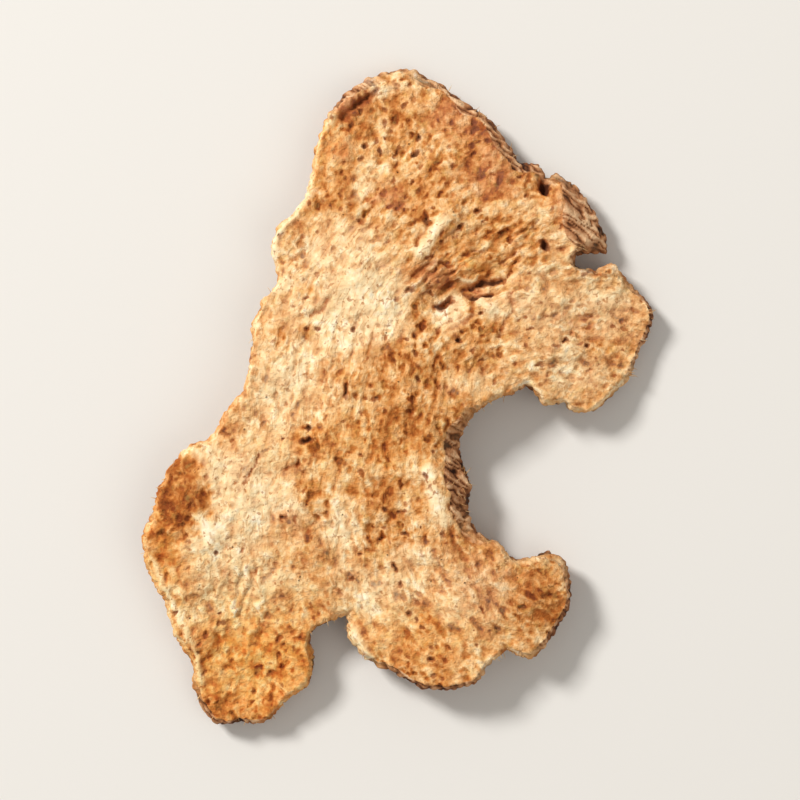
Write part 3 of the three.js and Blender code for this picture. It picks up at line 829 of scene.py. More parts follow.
# %% [markdown]
# ## The bark
# The bark shrank with the root and wrinkled. On the wall its creases run from one cut face to the
# other: they lie where a noise that is drawn out upwards passes through 0. On the knob, where the bark
# faces up, they run side by side down to the tip, as a wave does.

# %% Wrinkles of the bark
CREASE_TURN = math.radians(-31)
CREASE_SPACING = 1.6  # mm, and there is a crease at each half of it
CREASE_WAVER = 3.2  # radians
CREASE_SIZE = np.array([2.6, 0.9, 2.4])  # mm along, across and down a crease of the knob
WALL_CREASE = np.array([0.8, 0.8, 3.4])  # the same on the wall, along x, y and z
SHARP_CREASE = 2.2  # the larger, the narrower the creases of the wall
WRINKLE_HEIGHT = 0.08  # mm
BARK_LUMP_HEIGHT = 0.12

turned = places.copy()
turned[:, 0] = places[:, 0] * math.cos(CREASE_TURN) + places[:, 1] * math.sin(CREASE_TURN)
turned[:, 1] = places[:, 1] * math.cos(CREASE_TURN) - places[:, 0] * math.sin(CREASE_TURN)
knob_waver = make_noise(31)(turned / CREASE_SIZE) + 0.6 * make_noise(32)(turned / CREASE_SIZE * 2)
knob_creases = np.abs(np.sin(turned[:, 1] * 2 * math.pi / CREASE_SPACING + CREASE_WAVER * knob_waver))
wall_waver = make_noise(37)(places / (2 * WALL_CREASE))
wall_creases = np.minimum(SHARP_CREASE * np.abs(make_noise(38)(places / WALL_CREASE)), 1)
on_knob = ramp(level, 0.4, 0.75)
creases = on_knob * knob_creases + (1 - on_knob) * wall_creases
waver = on_knob * knob_waver + (1 - on_knob) * wall_waver
wrinkles = even(creases**0.6 + 0.5 * waver)
bark_relief = WRINKLE_HEIGHT * wrinkles + BARK_LUMP_HEIGHT * make_noise(33)(places / 2.2)
print("wrinkles, mm:", bark_relief.min().round(2), "to", bark_relief.max().round(2))

# %% [markdown]
# ## The rim
# The rim crumbled as the slice dried, so the corners near it move a little in and out, with a bite
# here and there. Just inside it the flesh stands up in a low lip, because it dried first at the edge.

# %% Crumbling of the rim
RIM_WIDTH = (0.1, 1.1)  # mm from the wall: all rim before the first, none of it past the second
CRUMBLE_HEIGHT = 0.11  # mm
BITE_DEPTH = 0.22
LIP_HEIGHT = 0.1
LIP_PLACE = 0.3  # mm from the wall
LIP_WIDTH = 0.25
crumble = make_noise(34)(places / 1.7) + 0.7 * make_noise(35)(places / 0.7)
bites = ramp(make_noise(36)(places / 1.2), 0.25, 0.7)
lip = np.exp(-(((from_wall - LIP_PLACE) / LIP_WIDTH) ** 2)) * (1 - bark)
near_rim = 1 - ramp(from_wall, *RIM_WIDTH)
rim_relief = near_rim * (CRUMBLE_HEIGHT * crumble - BITE_DEPTH * bites) + LIP_HEIGHT * lip
print("rim, mm:", rim_relief.min().round(2), "to", rim_relief.max().round(2))

# %% [markdown]
# ## Put the relief on the mesh
# All the layers add up to one height, and each corner moves by it along its own normal. The three
# feet stay as they are, because the slice rests on them, and nothing may reach below the table.

# %% Move the corners
FOOT_HEIGHTS = (0.05, 0.6)  # mm: what is lower than the first is a foot, above the second nothing is
relief = (1 - bark) * (1 - smooth) * face_relief + bark * bark_relief
height = relief + rim_relief - pit_depth - dimple_depth - line_depth
foot = 1 - ramp(places[:, 2], *FOOT_HEIGHTS)
height = height * (1 - foot)
outward = unit(relax(normals, edges, STEP_ROUNDS))
displaced = places + outward * height[:, None]
displaced[:, 2] = np.maximum(displaced[:, 2], 0)
print("size now, mm:", (displaced.max(axis=0) - displaced.min(axis=0)).round(2))

# %% [markdown]
# ## Where the bark has come off
# Along some of the rim the bark is still thick and brown, and elsewhere it has rubbed off and the
# flesh shows pale. As with the patches, a few places say where it is left whole. Anywhere else it is
# left in tatters, low on the wall, and the cut edge above them is bare. The side that faces left,
# towards the key light, is left barer and so paler: that is painted light.

# %% How much bark is left at every corner
BARK_PLACES = [  # x, y and reach in millimetres
    ("top left of the crown", -5, 31, 3.2),
    ("right side of the crown", 7, 29, 7),
    ("shoulder of the crown", 12.5, 23.5, 4),
    ("knob", 18.5, 18.5, 6),
    ("back of the bay", 6.5, -8, 7),
    ("right lobe", 25, 7, 5),
    ("tip of the lower left lobe", -18, -33, 5),
    ("tip of the lower right lobe", 16, -22, 5),
    ("lower right lobe", 3, -29, 6),
]
CUT_LEVEL = 0.8  # the upper cut face is where the surface is more level than this
BARE_EDGE = (0.8, 1.35)  # mm from the cut face: no bark before the first, all of it past the second
BARE_WAVER = 0.4  # mm
# painted light: the wall that faces the key light is left barer and paler
BARE_ON_LIT_SIDE = 0.5  # mm more of a bare edge on the side that faces left
TATTERS = (-0.7, -0.25)  # a noise under the first is a hole in the bark, above the second it is whole
MOST_BARK = 0.92

below_cut = distance_to(np.flatnonzero(is_top & (level > CUT_LEVEL)), places)
bare_on_lit_side = BARE_ON_LIT_SIDE * ramp(-tilt[:, 0], 0.2, 0.6)
bark_left = MOST_BARK * ramp(below_cut - bare_on_lit_side + BARE_WAVER * lumps(places / 1.5 + 90), *BARE_EDGE)
bark_left *= ramp(lumps(places / 3.2 + 95), *TATTERS)
for _, x, y, reach in BARK_PLACES:
    away = np.hypot(places[:, 0] - x, places[:, 1] - y) / reach
    bark_left = np.maximum(bark_left, np.exp(-(away**4)))
print("bark places:", len(BARK_PLACES), "mean share of bark left:", bark_left.mean().round(2))

# %% [markdown]
# ## Write the mesh back
# The colours need to know about the relief: hollows are rusty and darker, crests are paler and pits are
# dark.
# The darker hollows and paler crests are partly the flesh's own colour and partly painted shade and
# highlight. So each layer is kept on the mesh as an attribute, which a material reads by its name.

# %% Store the corners and the layers on the mesh
LAYERS = {
    "bark": bark,
    "bark_left": bark_left,
    "pit": np.clip(pit, 0, 1),
    "dimple": dimple,
    "crack": dark_lines_and_shadows,
    "level": np.clip(tilt[:, 2], 0, 1),
    "comb": np.clip(combed * fine_strands * 0.5, -1, 1),
    "combed": combed,
    "along": along,
    "across": across,
    "hollow": wide_hollows * (1 - smooth),
    "small_hollow": small_hollows * (1 - smooth),
    "wrinkle": np.clip(0.5 + 0.25 * wrinkles, 0, 1),
    # paler along the top of the rim: partly the pale cut edge, partly a painted highlight where the edge
    # catches light
    "rim": (1 - ramp(from_wall, 0.1, 0.55)) * ramp(tilt[:, 2], 0.2, 0.7),
    # painted shade: the flesh of the wall is darker where it is steep
    "painted_wall_shade": 1 - ramp(level, 0.3, 0.55),
    "pale": tints["pale"] + pale_lines_and_highlights,
    "rust": tints["rust"],
    "golden": tints["golden"],
    "pink": tints["pink"],
    "plain_place": places,
    "tilt": tilt,
}


def store(mesh, name, values):
    """Keeps a number, or three, for each corner of the mesh under this name."""
    kind, key = ("FLOAT", "value") if values.ndim == 1 else ("FLOAT_VECTOR", "vector")
    layer = mesh.attributes.new(name, kind, "POINT")
    layer.data.foreach_set(key, values.astype(np.float32).ravel())


mesh = dried_slice.data
mesh.vertices.foreach_set("co", (displaced * MM).astype(np.float32).ravel())
for name, values in LAYERS.items():
    store(mesh, name, values)
print("layers:", ", ".join(LAYERS))

# %% [markdown]
# ## Fewer faces where nobody looks closely
# The squares are as fine below as above, and that is more faces than the slice is kept to. A decimation
# that a vertex group steers takes faces from the underside and the wall, and hardly any from the upper
# face. The group has to pull only a little: a strong pull empties the underside before it takes any other.

# %% Thin out the underside
MOST_TRIANGLES = 197000
THIN_LEVEL = 0.6  # what is less level than this counts as wall
THIN_WALL = 0.5
THIN_BELOW = 1.0
THIN_PULL = 0.0001


def count_triangles(thing):
    return sum(len(face.vertices) - 2 for face in thing.data.polygons)


def thin_out(thing, weights, most):
    """Takes triangles away where the weights are high, until this many are left."""
    group = thing.vertex_groups.new(name="thin")
    for weight in np.unique(weights[weights > 0]):
        group.add(np.flatnonzero(weights == weight).tolist(), float(weight), "REPLACE")
    thinning = thing.modifiers.new("thinning", "DECIMATE")
    thinning.ratio = most / count_triangles(thing)
    thinning.vertex_group = "thin"
    thinning.vertex_group_factor = THIN_PULL
    apply_modifiers(thing)
    thing.vertex_groups.clear()


weights = np.where(is_top, 0.0, THIN_BELOW)
weights[level < THIN_LEVEL] = THIN_WALL
thin_out(dried_slice, weights, MOST_TRIANGLES)
dried_slice.data.shade_smooth()
print("triangles:", count_triangles(dried_slice))

# %% [markdown]
# ## A flat map of the faces
# Other programs wear a material as a picture, wrapped on by a flat map of the faces. Blender can cut the
# map by the slope of each face, but then every pit becomes a scrap of its own. Here it is cut by the
# form as it was before its relief: the two cut faces as they look from above, and the wall as it looks
# from eight sides. The packer then fits these pieces into one square.

# %% Lay the faces flat
WALL_SIDES = 8
WALL_BELOW = 0.5  # a face belongs to the wall where its tilt has less than this upright part
MAP_SCALE = 0.004  # of the map's width, for a millimetre, before the pieces are packed
APART = 1.0  # keeps the pieces from touching before they are packed
GAP = 0.001  # between packed pieces, as a share of the map's width


def read_layer(mesh, name):
    """A stored vector for each corner of each face of the mesh."""
    return read(mesh.attributes[name].data, "vector", 3, np.float64)[read(mesh.loops, "vertex_index")]


def lay_flat(thing):
    """Gives a thing a map with a piece for each cut face and for each side of the wall."""
    mesh = thing.data
    totals = read(mesh.polygons, "loop_total")
    tilts = unit(np.add.reduceat(read_layer(mesh, "tilt"), read(mesh.polygons, "loop_start")))
    side = np.round(np.arctan2(tilts[:, 1], tilts[:, 0]) / (2 * math.pi) * WALL_SIDES) % WALL_SIDES
    turn = side * 2 * math.pi / WALL_SIDES
    on_wall = np.abs(tilts[:, 2]) < WALL_BELOW
    piece = np.where(on_wall, 2 + side, tilts[:, 2] < 0)
    right = np.column_stack([-np.sin(turn), np.cos(turn), np.zeros(len(turn))])
    right[~on_wall] = (1, 0, 0)
    right[piece == 1] = (-1, 0, 0)
    up = np.where(on_wall[:, None], (0.0, 0.0, 1.0), (0.0, 1.0, 0.0))
    at = read_layer(mesh, "plain_place") * MAP_SCALE
    u = (at * np.repeat(right, totals, axis=0)).sum(axis=1) + APART * np.repeat(piece, totals)
    v = (at * np.repeat(up, totals, axis=0)).sum(axis=1)
    flat = mesh.uv_layers.new(name="OFBake")
    flat.uv.foreach_set("vector", np.column_stack([u, v]).astype(np.float32).ravel())
    mesh.uv_layers.active = flat
    bpy.context.view_layer.objects.active = thing
    bpy.ops.object.mode_set(mode="EDIT")
    bpy.ops.mesh.select_all(action="SELECT")
    bpy.ops.uv.select_all(action="SELECT")
    bpy.ops.uv.pack_islands(rotate=True, margin=GAP, shape_method="CONCAVE")
    bpy.ops.object.mode_set(mode="OBJECT")


lay_flat(dried_slice)
for name in ("plain_place", "tilt"):
    dried_slice.data.attributes.remove(dried_slice.data.attributes[name])
print("maps:", [layer.name for layer in dried_slice.data.uv_layers])

# %% [markdown]
# ## A few words for material nodes
# A material is a graph of small nodes. Writing one link at a time is long and hard to read, so these
# helpers make a node, set it up and link it in one line.

# %% Helpers for nodes
def linear(color):
    """A colour, from 0 to 255, as the linear numbers that a shader wants."""
    shares = [value / 255 for value in color]
    return [s / 12.92 if s <= 0.04045 else ((s + 0.055) / 1.055) ** 2.4 for s in shares] + [1.0]


class Graph:
    """The node tree of one material."""

    def __init__(self, name):
        self.material = bpy.data.materials.new(name)
        self.material.use_nodes = True
        self.tree = self.material.node_tree
        self.tree.nodes.clear()

    def add(self, kind, *inputs, **settings):
        """A node of this kind. Inputs are (socket, value) pairs, and a value may be a socket."""
        made = self.tree.nodes.new(kind)
        for name, value in settings.items():
            setattr(made, name, value)
        for socket, value in inputs:
            if isinstance(value, bpy.types.NodeSocket):
                self.tree.links.new(value, made.inputs[socket])
            else:
                made.inputs[socket].default_value = value
        return made

    def layer(self, name):
        """A layer stored on the mesh."""
        return self.add("ShaderNodeAttribute", attribute_name=name).outputs["Fac"]

    def sum(self, *terms):
        """A number: the sum of the terms, each a socket, a number, or a (socket, factor) pair."""
        total = None
        for term in terms:
            if isinstance(term, tuple):
                term = self.times(*term)
            total = term if total is None else self.math("ADD", total, term)
        return total

    def math(self, operation, a, b=0.0, clamp=False):
        made = self.add("ShaderNodeMath", (0, a), (1, b), operation=operation, use_clamp=clamp)
        return made.outputs[0]

    def times(self, a, b, clamp=False):
        return self.math("MULTIPLY", a, b, clamp)

    def place(self):
        """The place of a point, in millimetres."""
        position = self.add("ShaderNodeTexCoord").outputs["Object"]
        scaled = self.add("ShaderNodeVectorMath", (0, position), operation="SCALE")
        scaled.inputs["Scale"].default_value = 1 / MM
        return scaled.outputs[0]

    def rise(self, value, low, high):
        """0 below low, 1 above high, and a smooth rise between."""
        made = self.add(
            "ShaderNodeMapRange", (0, value), (1, low), (2, high), interpolation_type="SMOOTHSTEP"
        )
        return made.outputs[0]

    def noise(self, place, per_mm, detail=3.0, roughness=0.6):
        """Noise about 0, with this many lumps to a millimetre."""
        made = self.add(
            "ShaderNodeTexNoise",
            ("Vector", place),
            ("Scale", per_mm),
            ("Detail", detail),
            ("Roughness", roughness),
        )
        return self.math("SUBTRACT", made.outputs["Fac"], 0.5)

    def colors(self, value, stops):
        """A colour for a number, from (position, colour) stops."""
        made = self.add("ShaderNodeValToRGB", (0, value))
        ramp_of = made.color_ramp
        while len(ramp_of.elements) < len(stops):
            ramp_of.elements.new(0.5)
        for element, (position, color) in zip(ramp_of.elements, stops):
            element.position = position
            element.color = linear(color)
        return made.outputs[0]

    def blend(self, share, a, b, how="MIX"):
        """Colour a with this share of b over it."""
        settings = {"data_type": "RGBA", "blend_type": how, "clamp_factor": True}
        return self.add("ShaderNodeMix", (0, share), (6, a), (7, b), **settings).outputs[2]

    def paint(self, color, paint, share, how="MIX"):
        """The colour with a paint over it. The share is a socket, or a (socket, factor) pair."""
        if isinstance(share, tuple):
            share = self.times(*share)
        return self.blend(share, color, linear(paint), how)


print("a helper class with", sum(callable(getattr(Graph, name)) for name in vars(Graph)), "functions")

# %% [markdown]
# ## How pale the flesh is
# The cut face runs from rust brown in the hollows to cream on the crests, partly its own colour and
# partly painted shade and highlight. One number, the tone, says how pale a point is. It adds up slow
# clouds and fine grain, the strokes of the strands, the hollows and the patches. The strokes are drawn in
# the coordinates that follow the strands.

# %% The tone of the flesh
STROKE = (0.6, 0.32)  # mm along and across the strands
STROKE_SHARE = 0.28  # how clearly the strands show where nothing else is said
TONE = 0.592
TONE_NOISES = (  # lumps to a mm, detail, roughness, and how much the noise adds
    (0.2, 1, 0.5, 0.45),
    (0.5, 2, 0.6, 0.82),
    (1.3, 3, 0.6, 0.55),
    (2.2, 1, 0.5, 0.4),
    (3.6, 2, 0.6, 0.08),
)
TONE_STROKES = 0.55
# Darker in the hollows, small hollows and dimples and paler on the raised strands: partly the flesh's own
# rust and cream, partly painted shade and highlight. The rim term is paler flesh plus a painted highlight
# along the top edge, and the wall term is painted shade on the steep wall.
TONE_LAYERS = {
    "hollow": -0.23,
    "small_hollow": -0.16,
    "dimple": -0.46,
    "comb": 0.26,
    "pale": 0.19,
    "rust": -0.15,
    "rim": 0.1,
    "painted_wall_shade": -0.05,
}


def stroke_noise(graph, place, length, width, detail=2.0):
    """Noise in strokes of this size in millimetres, which follow the strands."""
    depth = graph.add("ShaderNodeSeparateXYZ", (0, place)).outputs[2]
    parts = ((graph.layer("along"), 1 / length), (graph.layer("across"), 1 / width), (depth, 0.5 / width))
    inputs = [(i, graph.times(*part)) for i, part in enumerate(parts)]
    return graph.noise(graph.add("ShaderNodeCombineXYZ", *inputs).outputs[0], 1.0, detail, 0.55)


def shown_strokes(graph, place):
    """Strokes that show well where the flesh is combed, and little where it is pale."""
    change = graph.sum((graph.layer("combed"), 0.8), (graph.layer("pale"), -0.3))
    share = graph.math("ADD", change, STROKE_SHARE, True)
    return graph.times(stroke_noise(graph, place, *STROKE), share)


def tone(graph, place):
    """How pale the flesh is, from 0 to 1."""
    noises = [(graph.noise(place, *look), amount) for *look, amount in TONE_NOISES]
    layers = [(graph.layer(name), amount) for name, amount in TONE_LAYERS.items()]
    return graph.sum(TONE, *noises, (shown_strokes(graph, place), TONE_STROKES), *layers)


print("the tone adds up", len(TONE_NOISES), "noises, the strokes and", len(TONE_LAYERS), "layers")

# %% [markdown]
# ## Marks on the flesh
# Resin and small vessels mark the cut face: rusty flecks, holes too fine for the mesh, short dashes
# along the strands, and brown specks that stand out most where the flesh is cream.

# %% Flecks, pin holes, dashes and specks
DASH = (0.62, 0.36)  # mm along and across the strands
DASH_LIMITS = (0.06, 0.16)  # of the noise, where a dash begins and where it is full
CORE_LIMITS = (0.16, 0.24)  # the same for the dark core of a dash
HOLES_PER_MM = 0.9
HOLE_SIZES = (-0.14, 0.27)  # the smallest, and how much larger the largest is. Under 0 there is no hole
HOLE_EDGE = 0.08
HOLE_WAVER = 0.22  # mm


def flecks(graph, place):
    """Rusty flecks, more of them in the rusty patches and the hollows."""
    spots = graph.noise(place, 1.5, 2, 0.6)
    lift = graph.sum(
        spots,
        (graph.layer("rust"), 0.06),
        (graph.layer("pale"), -0.04),
        (graph.layer("hollow"), 0.08),
    )
    return graph.rise(lift, 0.08, 0.18)


def pin_holes(graph, place):
    """Dark holes, smaller than the pits of the mesh, one in some cells of a Voronoi pattern."""
    noise = graph.add("ShaderNodeTexNoise", ("Vector", place), ("Scale", 4.0), ("Detail", 2.0))
    shift = graph.add("ShaderNodeVectorMath", (0, noise.outputs["Color"]), operation="SCALE")
    shift.inputs["Scale"].default_value = HOLE_WAVER
    moved = graph.add("ShaderNodeVectorMath", (0, place), (1, shift.outputs[0]), operation="ADD")
    cells = graph.add(
        "ShaderNodeTexVoronoi",
        ("Vector", moved.outputs[0]),
        ("Scale", HOLES_PER_MM),
        ("Randomness", 1.0),
    )
    own = graph.add("ShaderNodeSeparateColor", (0, cells.outputs["Color"])).outputs[0]
    size = graph.sum(HOLE_SIZES[0], (own, HOLE_SIZES[1]))
    edge = graph.math("SUBTRACT", size, cells.outputs["Distance"])
    return graph.rise(edge, 0.0, HOLE_EDGE)


def dashes(graph, place, limits):
    """Short dashes along the strands, the narrower the higher these limits are."""
    return graph.rise(stroke_noise(graph, place, *DASH, 1.0), *limits)


def specks(graph, place, cream):
    """Small brown specks, most of them where the flesh is cream."""
    spots = graph.rise(graph.noise(place, 2.0, 1, 0.5), 0.12, 0.2)
    share = graph.sum(0.2, (cream, 0.5))
    return graph.times(spots, share, True)


print("dashes, mm:", DASH, "pin holes to a mm:", HOLES_PER_MM)

# %% [markdown]
# ## Colour of the flesh
# A colour ramp turns the tone into the root's own colours. Then the colours go on in layers, as
# glazes would: pink, straw and cream tints, the dashes and the specks, gold and honey where the root is
# golden, the flecks, and last what is deep and dark: the cracks, the pits and the pin holes.

# %% Colours of the flesh
FLESH = [
    (0.0, (112, 50, 12)),
    (0.2, (174, 98, 36)),
    (0.4, (214, 146, 80)),
    (0.6, (238, 187, 127)),
    (0.8, (254, 224, 175)),
    (1.0, (255, 246, 222)),
]
RUST = (152, 74, 24)
GOLD = (222, 150, 58)
HONEY = (214, 164, 78)
PINK = (250, 218, 210)
ROSE = (206, 142, 110)
STRAW = (226, 188, 104)
CREAM = (250, 232, 190)
DASH_BROWN = (196, 130, 62)
SPECK_BROWN = (170, 96, 34)
CORE_BROWN = (142, 78, 34)
PIT_BROWN = (66, 28, 8)
HOLE_BROWN = (92, 44, 14)
DEEP_PLACES = {  # where the stain begins and is full, and where the dark inside does
    "crack": (0.02, 0.5, 0.45, 1.0),
    "pit": (0.05, 0.45, 0.4, 0.95),
}


def tinted(graph, place, color, cream):
    """The colour with its pink, straw and cream tints."""
    pink = graph.rise(graph.noise(place, 0.8, 2, 0.6), 0.02, 0.22)
    pink = graph.sum((pink, 0.25), (graph.layer("pink"), 0.35))
    color = graph.paint(color, PINK, pink, "MULTIPLY")
    color = graph.paint(color, ROSE, (graph.layer("pink"), 0.4))
    straw = graph.rise(graph.noise(place, 0.95, 2, 0.6), 0.02, 0.22)
    color = graph.paint(color, STRAW, (straw, 0.25))
    return graph.paint(color, CREAM, (cream, 0.44))


def marked(graph, place, color, cream):
    """The colour with its dashes, specks, golden places and flecks."""
    color = graph.paint(color, DASH_BROWN, (dashes(graph, place, DASH_LIMITS), 0.38))
    color = graph.paint(color, SPECK_BROWN, specks(graph, place, cream))
    core_share = graph.sum(0.2, (graph.layer("rust"), 0.5))
    core = graph.times(dashes(graph, place, CORE_LIMITS), core_share, True)
    color = graph.paint(color, CORE_BROWN, core)
    golden = graph.times(graph.layer("golden"), 0.7)
    color = graph.paint(color, GOLD, golden, "SOFT_LIGHT")
    honey = graph.times(golden, graph.rise(graph.noise(place, 1.1, 2, 0.6), -0.12, 0.12))
    color = graph.paint(color, HONEY, (honey, 0.6))
    return graph.paint(color, RUST, (flecks(graph, place), 0.33))


def flesh_color(graph, place, holes):
    """The colour of the cut faces."""
    cream = graph.math("SUBTRACT", graph.layer("pale"), graph.layer("rust"), clamp=True)
    color = tinted(graph, place, graph.colors(tone(graph, place), FLESH), cream)
    color = marked(graph, place, color, cream)
    ragged = graph.times(graph.noise(place, 3.0, 2), 0.5)
    for layer, limits in DEEP_PLACES.items():
        depth = graph.sum(graph.layer(layer), ragged)
        color = graph.paint(color, RUST, (graph.rise(depth, *limits[:2]), 0.75))
        color = graph.paint(color, PIT_BROWN, (graph.rise(depth, *limits[2:]), 0.9))
    return graph.paint(color, HOLE_BROWN, (holes, 0.6))


print("stops of the flesh colour:", len(FLESH))

# %% [markdown]
# ## Colour of the bark
# The bark is a thin brown skin, nearly black down in its creases and tan on top of the wrinkles, partly
# its own colour and partly painted shade and highlight. Where it faces up it is painted paler, as light.

# %% Colours of the bark
BARK = [
    (0.0, (54, 26, 12)),
    (0.35, (126, 74, 40)),
    (0.65, (186, 128, 84)),
    (1.0, (232, 190, 146)),
]
BARK_SHADE = 0.42


def bark_color(graph, place):
    """The colour of the bark."""
    folds = graph.noise(place, 2.0, 3, 0.6)
    clouds = graph.noise(place, 0.35, 3, 0.5)
    wrinkle = graph.math("SUBTRACT", graph.layer("wrinkle"), 0.5)
    shade = graph.sum(
        BARK_SHADE,
        (folds, 0.6),
        (clouds, 0.5),
        # darker in the creases, paler on the crests: partly the bark's own colour, partly painted shade and
        # highlight
        (wrinkle, 1.15),
        # painted light: the bark is paler where it faces up
        (graph.layer("level"), 0.2),
        (graph.layer("pale"), 0.15),
        (graph.layer("crack"), -0.5),
    )
    return graph.colors(shade, BARK)


print("stops of the bark colour:", len(BARK))

# %% [markdown]
# ## The finish of the root
# The bark lies over the flesh where the mesh says so, with a ragged edge. A bump adds what is too fine
# for the mesh: crumbs and strands, and the sunk pin holes. The dry flesh is matt, with hardly a shine.

# %% Material of the slice
BUMP_HEIGHT = 0.3 * MM
ROUGHNESS = 0.86
SHINE = 0.25


def root_bumps(graph, place, holes):
    """The height of what is too fine for the mesh. Pale flesh is smoother."""
    crumbly = graph.math("SUBTRACT", 1.0, graph.times(graph.layer("pale"), 0.4), clamp=True)
    return graph.sum(
        (graph.times(graph.noise(place, 2.6, 3, 0.58), crumbly), 0.9),
        (shown_strokes(graph, place), 0.5),
        (graph.noise(place, 5.5, 2, 0.6), 0.1),
        (holes, -0.8),
        (dashes(graph, place, DASH_LIMITS), -0.05),
    )


def root_material():
    """The material of the whole slice."""
    graph = Graph("dried root")
    place = graph.place()
    ragged = graph.sum(graph.layer("bark"), (graph.noise(place, 1.3, 3), 0.7))
    skin = graph.times(graph.rise(ragged, 0.3, 0.6), graph.layer("bark_left"))
    bare = graph.math("SUBTRACT", 1.0, skin, clamp=True)
    holes = graph.times(pin_holes(graph, place), bare)
    color = graph.blend(skin, flesh_color(graph, place, holes), bark_color(graph, place))
    bumps = root_bumps(graph, place, holes)
    bump = graph.add("ShaderNodeBump", ("Height", bumps), ("Strength", 1.0), ("Distance", BUMP_HEIGHT))
    shader = graph.add(
        "ShaderNodeBsdfPrincipled",
        ("Base Color", color),
        ("Roughness", ROUGHNESS),
        ("Normal", bump.outputs[0]),
    )
    shader.inputs["Specular IOR Level"].default_value = SHINE
    graph.add("ShaderNodeOutputMaterial", ("Surface", shader.outputs[0]))
    return graph.material


dried_slice.data.materials.clear()
dried_slice.data.materials.append(root_material())
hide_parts(NODE)
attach(dried_slice, "root")
print("nodes in the material:", len(dried_slice.data.materials[0].node_tree.nodes))

# %% [markdown]
# ## Fibres at the torn edges
# Where the slice tore, the ends of single strands stand out from its edge. Hair is the usual way to
# make them, but many programs drop hair. So each fibre is a mesh: a bent spike with three sides, whose
# root is sunk in the flesh.

# %% Fibres
TORN_PLACES = [  # x, y and reach in millimetres, and how many fibres stand out there
    ("lip of the bay", 3.6, -9.5, 4, 16),
    ("upper edge of the bay", 7, 1, 4, 10),
    ("lower notch", -5.5, -23, 4, 14),
    ("notch of the lower right lobe", 11, -25, 3, 10),
    ("right edge of the crown", 8, 28, 6, 14),
    ("notch below the knob", 17.5, 13.5, 3, 8),
    ("end of the right lobe", 24.5, 4, 5, 12),
    ("left rim of the neck", -12.5, 5, 9, 8),
    ("left shoulder", -24, -12, 6, 12),
    ("tip of the lower left lobe", -16, -32, 5, 12),
]
FIBRE_LENGTHS = (0.4, 1.0)  # mm
FIBRE_WIDTHS = (0.04, 0.07)  # mm, half the width of the root
FIBRE_BEND = 0.35  # as a share of the length
FIBRE_ROOT = 0.15  # mm of it inside the flesh
FIBRE_RINGS = (0, 0.4, 0.75)  # shares of the length
FIBRE_TAPER = 0.7  # how much of its width it loses along the rings
TORN_LEVELS = (0.25, 0.8)  # a fibre stands where the rim turns over, between wall and cut face
LOWEST_FIBRE = 0.8  # mm above the table
TOWARDS_STRAND = 0.8  # how far a fibre keeps to its strand
FIBRE_SPREAD = 0.25  # how far they point each its own way
FIBRE_COLORS = [(0.2, (176, 118, 62)), (0.5, (222, 174, 112)), (0.8, (244, 220, 172))]


def fibre(start, direction, length, half_width, bend):
    """The corners and faces of one spike, from its root to its tip."""
    side = unit(np.cross(direction, (0, 0, 1))[None])[0]
    over = np.cross(direction, side)
    drift = (bend[0] * side + bend[1] * over) * length
    corners = []
    for share in FIBRE_RINGS:
        middle = start + share * length * direction + share**2 * drift
        for turn in np.arange(3) * 2 * math.pi / 3:
            radius = half_width * (1 - FIBRE_TAPER * share)
            corners.append(middle + radius * (math.cos(turn) * side + math.sin(turn) * over))
    corners.append(start + length * direction + drift)
    faces = [(2, 1, 0)]
    for ring in (0, 3):
        faces += [(ring + i, ring + (i + 1) % 3, ring + 3 + (i + 1) % 3, ring + 3 + i) for i in range(3)]
    faces += [(6 + i, 6 + (i + 1) % 3, 9) for i in range(3)]
    return corners, faces


def torn_fibres():
    """Fibres along the torn edges, each of them pointing out of the edge and along its strand."""
    random = np.random.default_rng(41)
    torn = is_top & (level > TORN_LEVELS[0]) & (level < TORN_LEVELS[1]) & (places[:, 2] > LOWEST_FIBRE)
    corners, faces = [], []
    for _, x, y, reach, count in TORN_PLACES:
        near = np.hypot(places[:, 0] - x, places[:, 1] - y) < reach
        for index in random.choice(np.flatnonzero(near & torn), count, replace=False):
            out = tilt[index] * (1, 1, 0.4)
            strand = strands[index] * np.sign(strands[index] @ out)
            spread = random.normal(0, FIBRE_SPREAD, 3)
            direction = unit((out + TOWARDS_STRAND * strand + spread)[None])[0]
            length = random.uniform(*FIBRE_LENGTHS)
            bend = random.uniform(-FIBRE_BEND, FIBRE_BEND, 2)
            start = displaced[index] - FIBRE_ROOT * direction
            made = fibre(start, direction, length, random.uniform(*FIBRE_WIDTHS), bend)
            faces += [[len(corners) + corner for corner in face] for face in made[1]]
            corners += made[0]
    return np.array(corners), faces


def fibre_material():
    """The material of the fibres, from honey brown to cream."""
    graph = Graph("dried fibres")
    place = graph.place()
    shade = graph.sum(0.5, (graph.noise(place, 0.9, 3, 0.6), 1.6))
    color = graph.colors(shade, FIBRE_COLORS)
    height = graph.noise(place, 9.0, 2)
    bump = graph.add("ShaderNodeBump", ("Height", height), ("Strength", 0.4), ("Distance", 0.03 * MM))
    shader = graph.add("ShaderNodeBsdfPrincipled", ("Base Color", color), ("Normal", bump.outputs[0]))
    shader.inputs["Roughness"].default_value = 0.8
    graph.add("ShaderNodeOutputMaterial", ("Surface", shader.outputs[0]))
    return graph.material


fibre_corners, fibre_faces = torn_fibres()
fibre_mesh = bpy.data.meshes.new("torn_fibres")
fibre_mesh.from_pydata((fibre_corners * MM).tolist(), [], fibre_faces)
fibre_mesh.shade_smooth()
fibre_mesh.materials.append(fibre_material())
fibres = bpy.data.objects.new("torn_fibres", fibre_mesh)
bpy.context.scene.collection.objects.link(fibres)
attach(fibres, "root")
print("fibres:", sum(row[-1] for row in TORN_PLACES), "triangles:", count_triangles(fibres))

# %% [markdown]
# ## Floor
# The slice lies on a plain pale floor, which sends soft light back into the shadows.

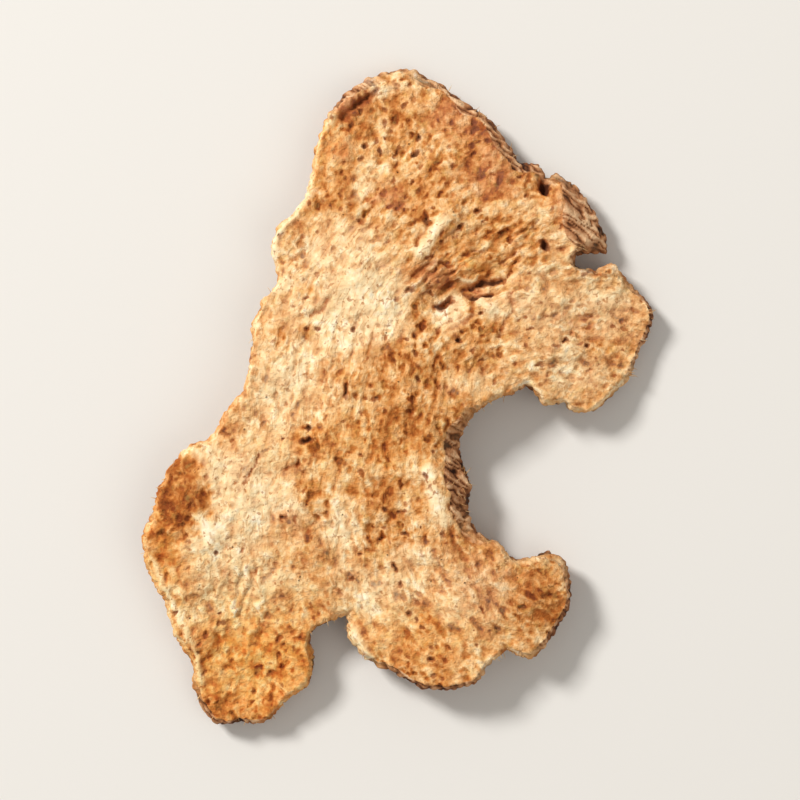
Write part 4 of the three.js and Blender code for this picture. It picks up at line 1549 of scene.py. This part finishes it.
# %% Floor
FLOOR = 1.2  # m
FLOOR_GREY = (226, 224, 220)
bpy.ops.mesh.primitive_plane_add(size=FLOOR)
floor = bpy.context.object
floor.name = "floor"
floor_graph = Graph("floor")
floor_shader = floor_graph.add("ShaderNodeBsdfPrincipled", ("Base Color", linear(FLOOR_GREY)))
floor_shader.inputs["Roughness"].default_value = 0.9
floor_graph.add("ShaderNodeOutputMaterial", ("Surface", floor_shader.outputs[0]))
floor.data.materials.append(floor_graph.material)
print("floor:", FLOOR, "m")

# %% [markdown]
# ## Light
# The key light is a large lamp at the upper left, low enough to show the relief. A faint lamp opposite
# and the world fill the shadows with warm light.

# %% Light
SKY = (1.0, 0.96, 0.91, 1)
SKY_STRENGTH = 0.4


def lamp(name, azimuth, elevation, distance, size, power, color):
    """A square lamp aimed at the slice. Azimuth is counted anticlockwise from +X."""
    data = bpy.data.lights.new(name, "AREA")
    data.size = size
    data.energy = power
    data.color = color
    thing = bpy.data.objects.new(name, data)
    bpy.context.scene.collection.objects.link(thing)
    turn = math.radians(azimuth)
    rise = math.radians(elevation)
    out = Vector((math.cos(turn) * math.cos(rise), math.sin(turn) * math.cos(rise), math.sin(rise)))
    thing.location = out * distance
    thing.rotation_euler = out.to_track_quat("Z", "Y").to_euler()
    return thing


lamp("key", azimuth=140, elevation=40, distance=1.0, size=0.22, power=10.0, color=(1.0, 0.98, 0.95))
lamp("fill", azimuth=-30, elevation=55, distance=0.7, size=0.5, power=0.7, color=(1.0, 0.95, 0.88))
world = bpy.data.worlds.new("studio")
world.use_nodes = True
world.node_tree.nodes["Background"].inputs[0].default_value = SKY
world.node_tree.nodes["Background"].inputs[1].default_value = SKY_STRENGTH
bpy.context.scene.world = world
bpy.context.scene.view_settings.view_transform = "Standard"

# %% [markdown]
# ## Camera
# The camera looks straight down through a long lens, so that the walls don't lean outwards.

# %% Camera
VIEW_WIDTH = 82.5  # mm across the picture at the height of the floor
VIEW_CENTRE = (0.0, -0.35)  # mm
LENS = 135.0
camera_data = bpy.data.cameras.new("camera")
camera_data.lens = LENS
camera = bpy.data.objects.new("camera", camera_data)
bpy.context.scene.collection.objects.link(camera)
reach = VIEW_WIDTH * MM * LENS / camera_data.sensor_width
camera.location = (VIEW_CENTRE[0] * MM, VIEW_CENTRE[1] * MM, reach)
camera_data.clip_start = 0.01
bpy.context.scene.camera = camera
print("camera height, m:", round(reach, 3))
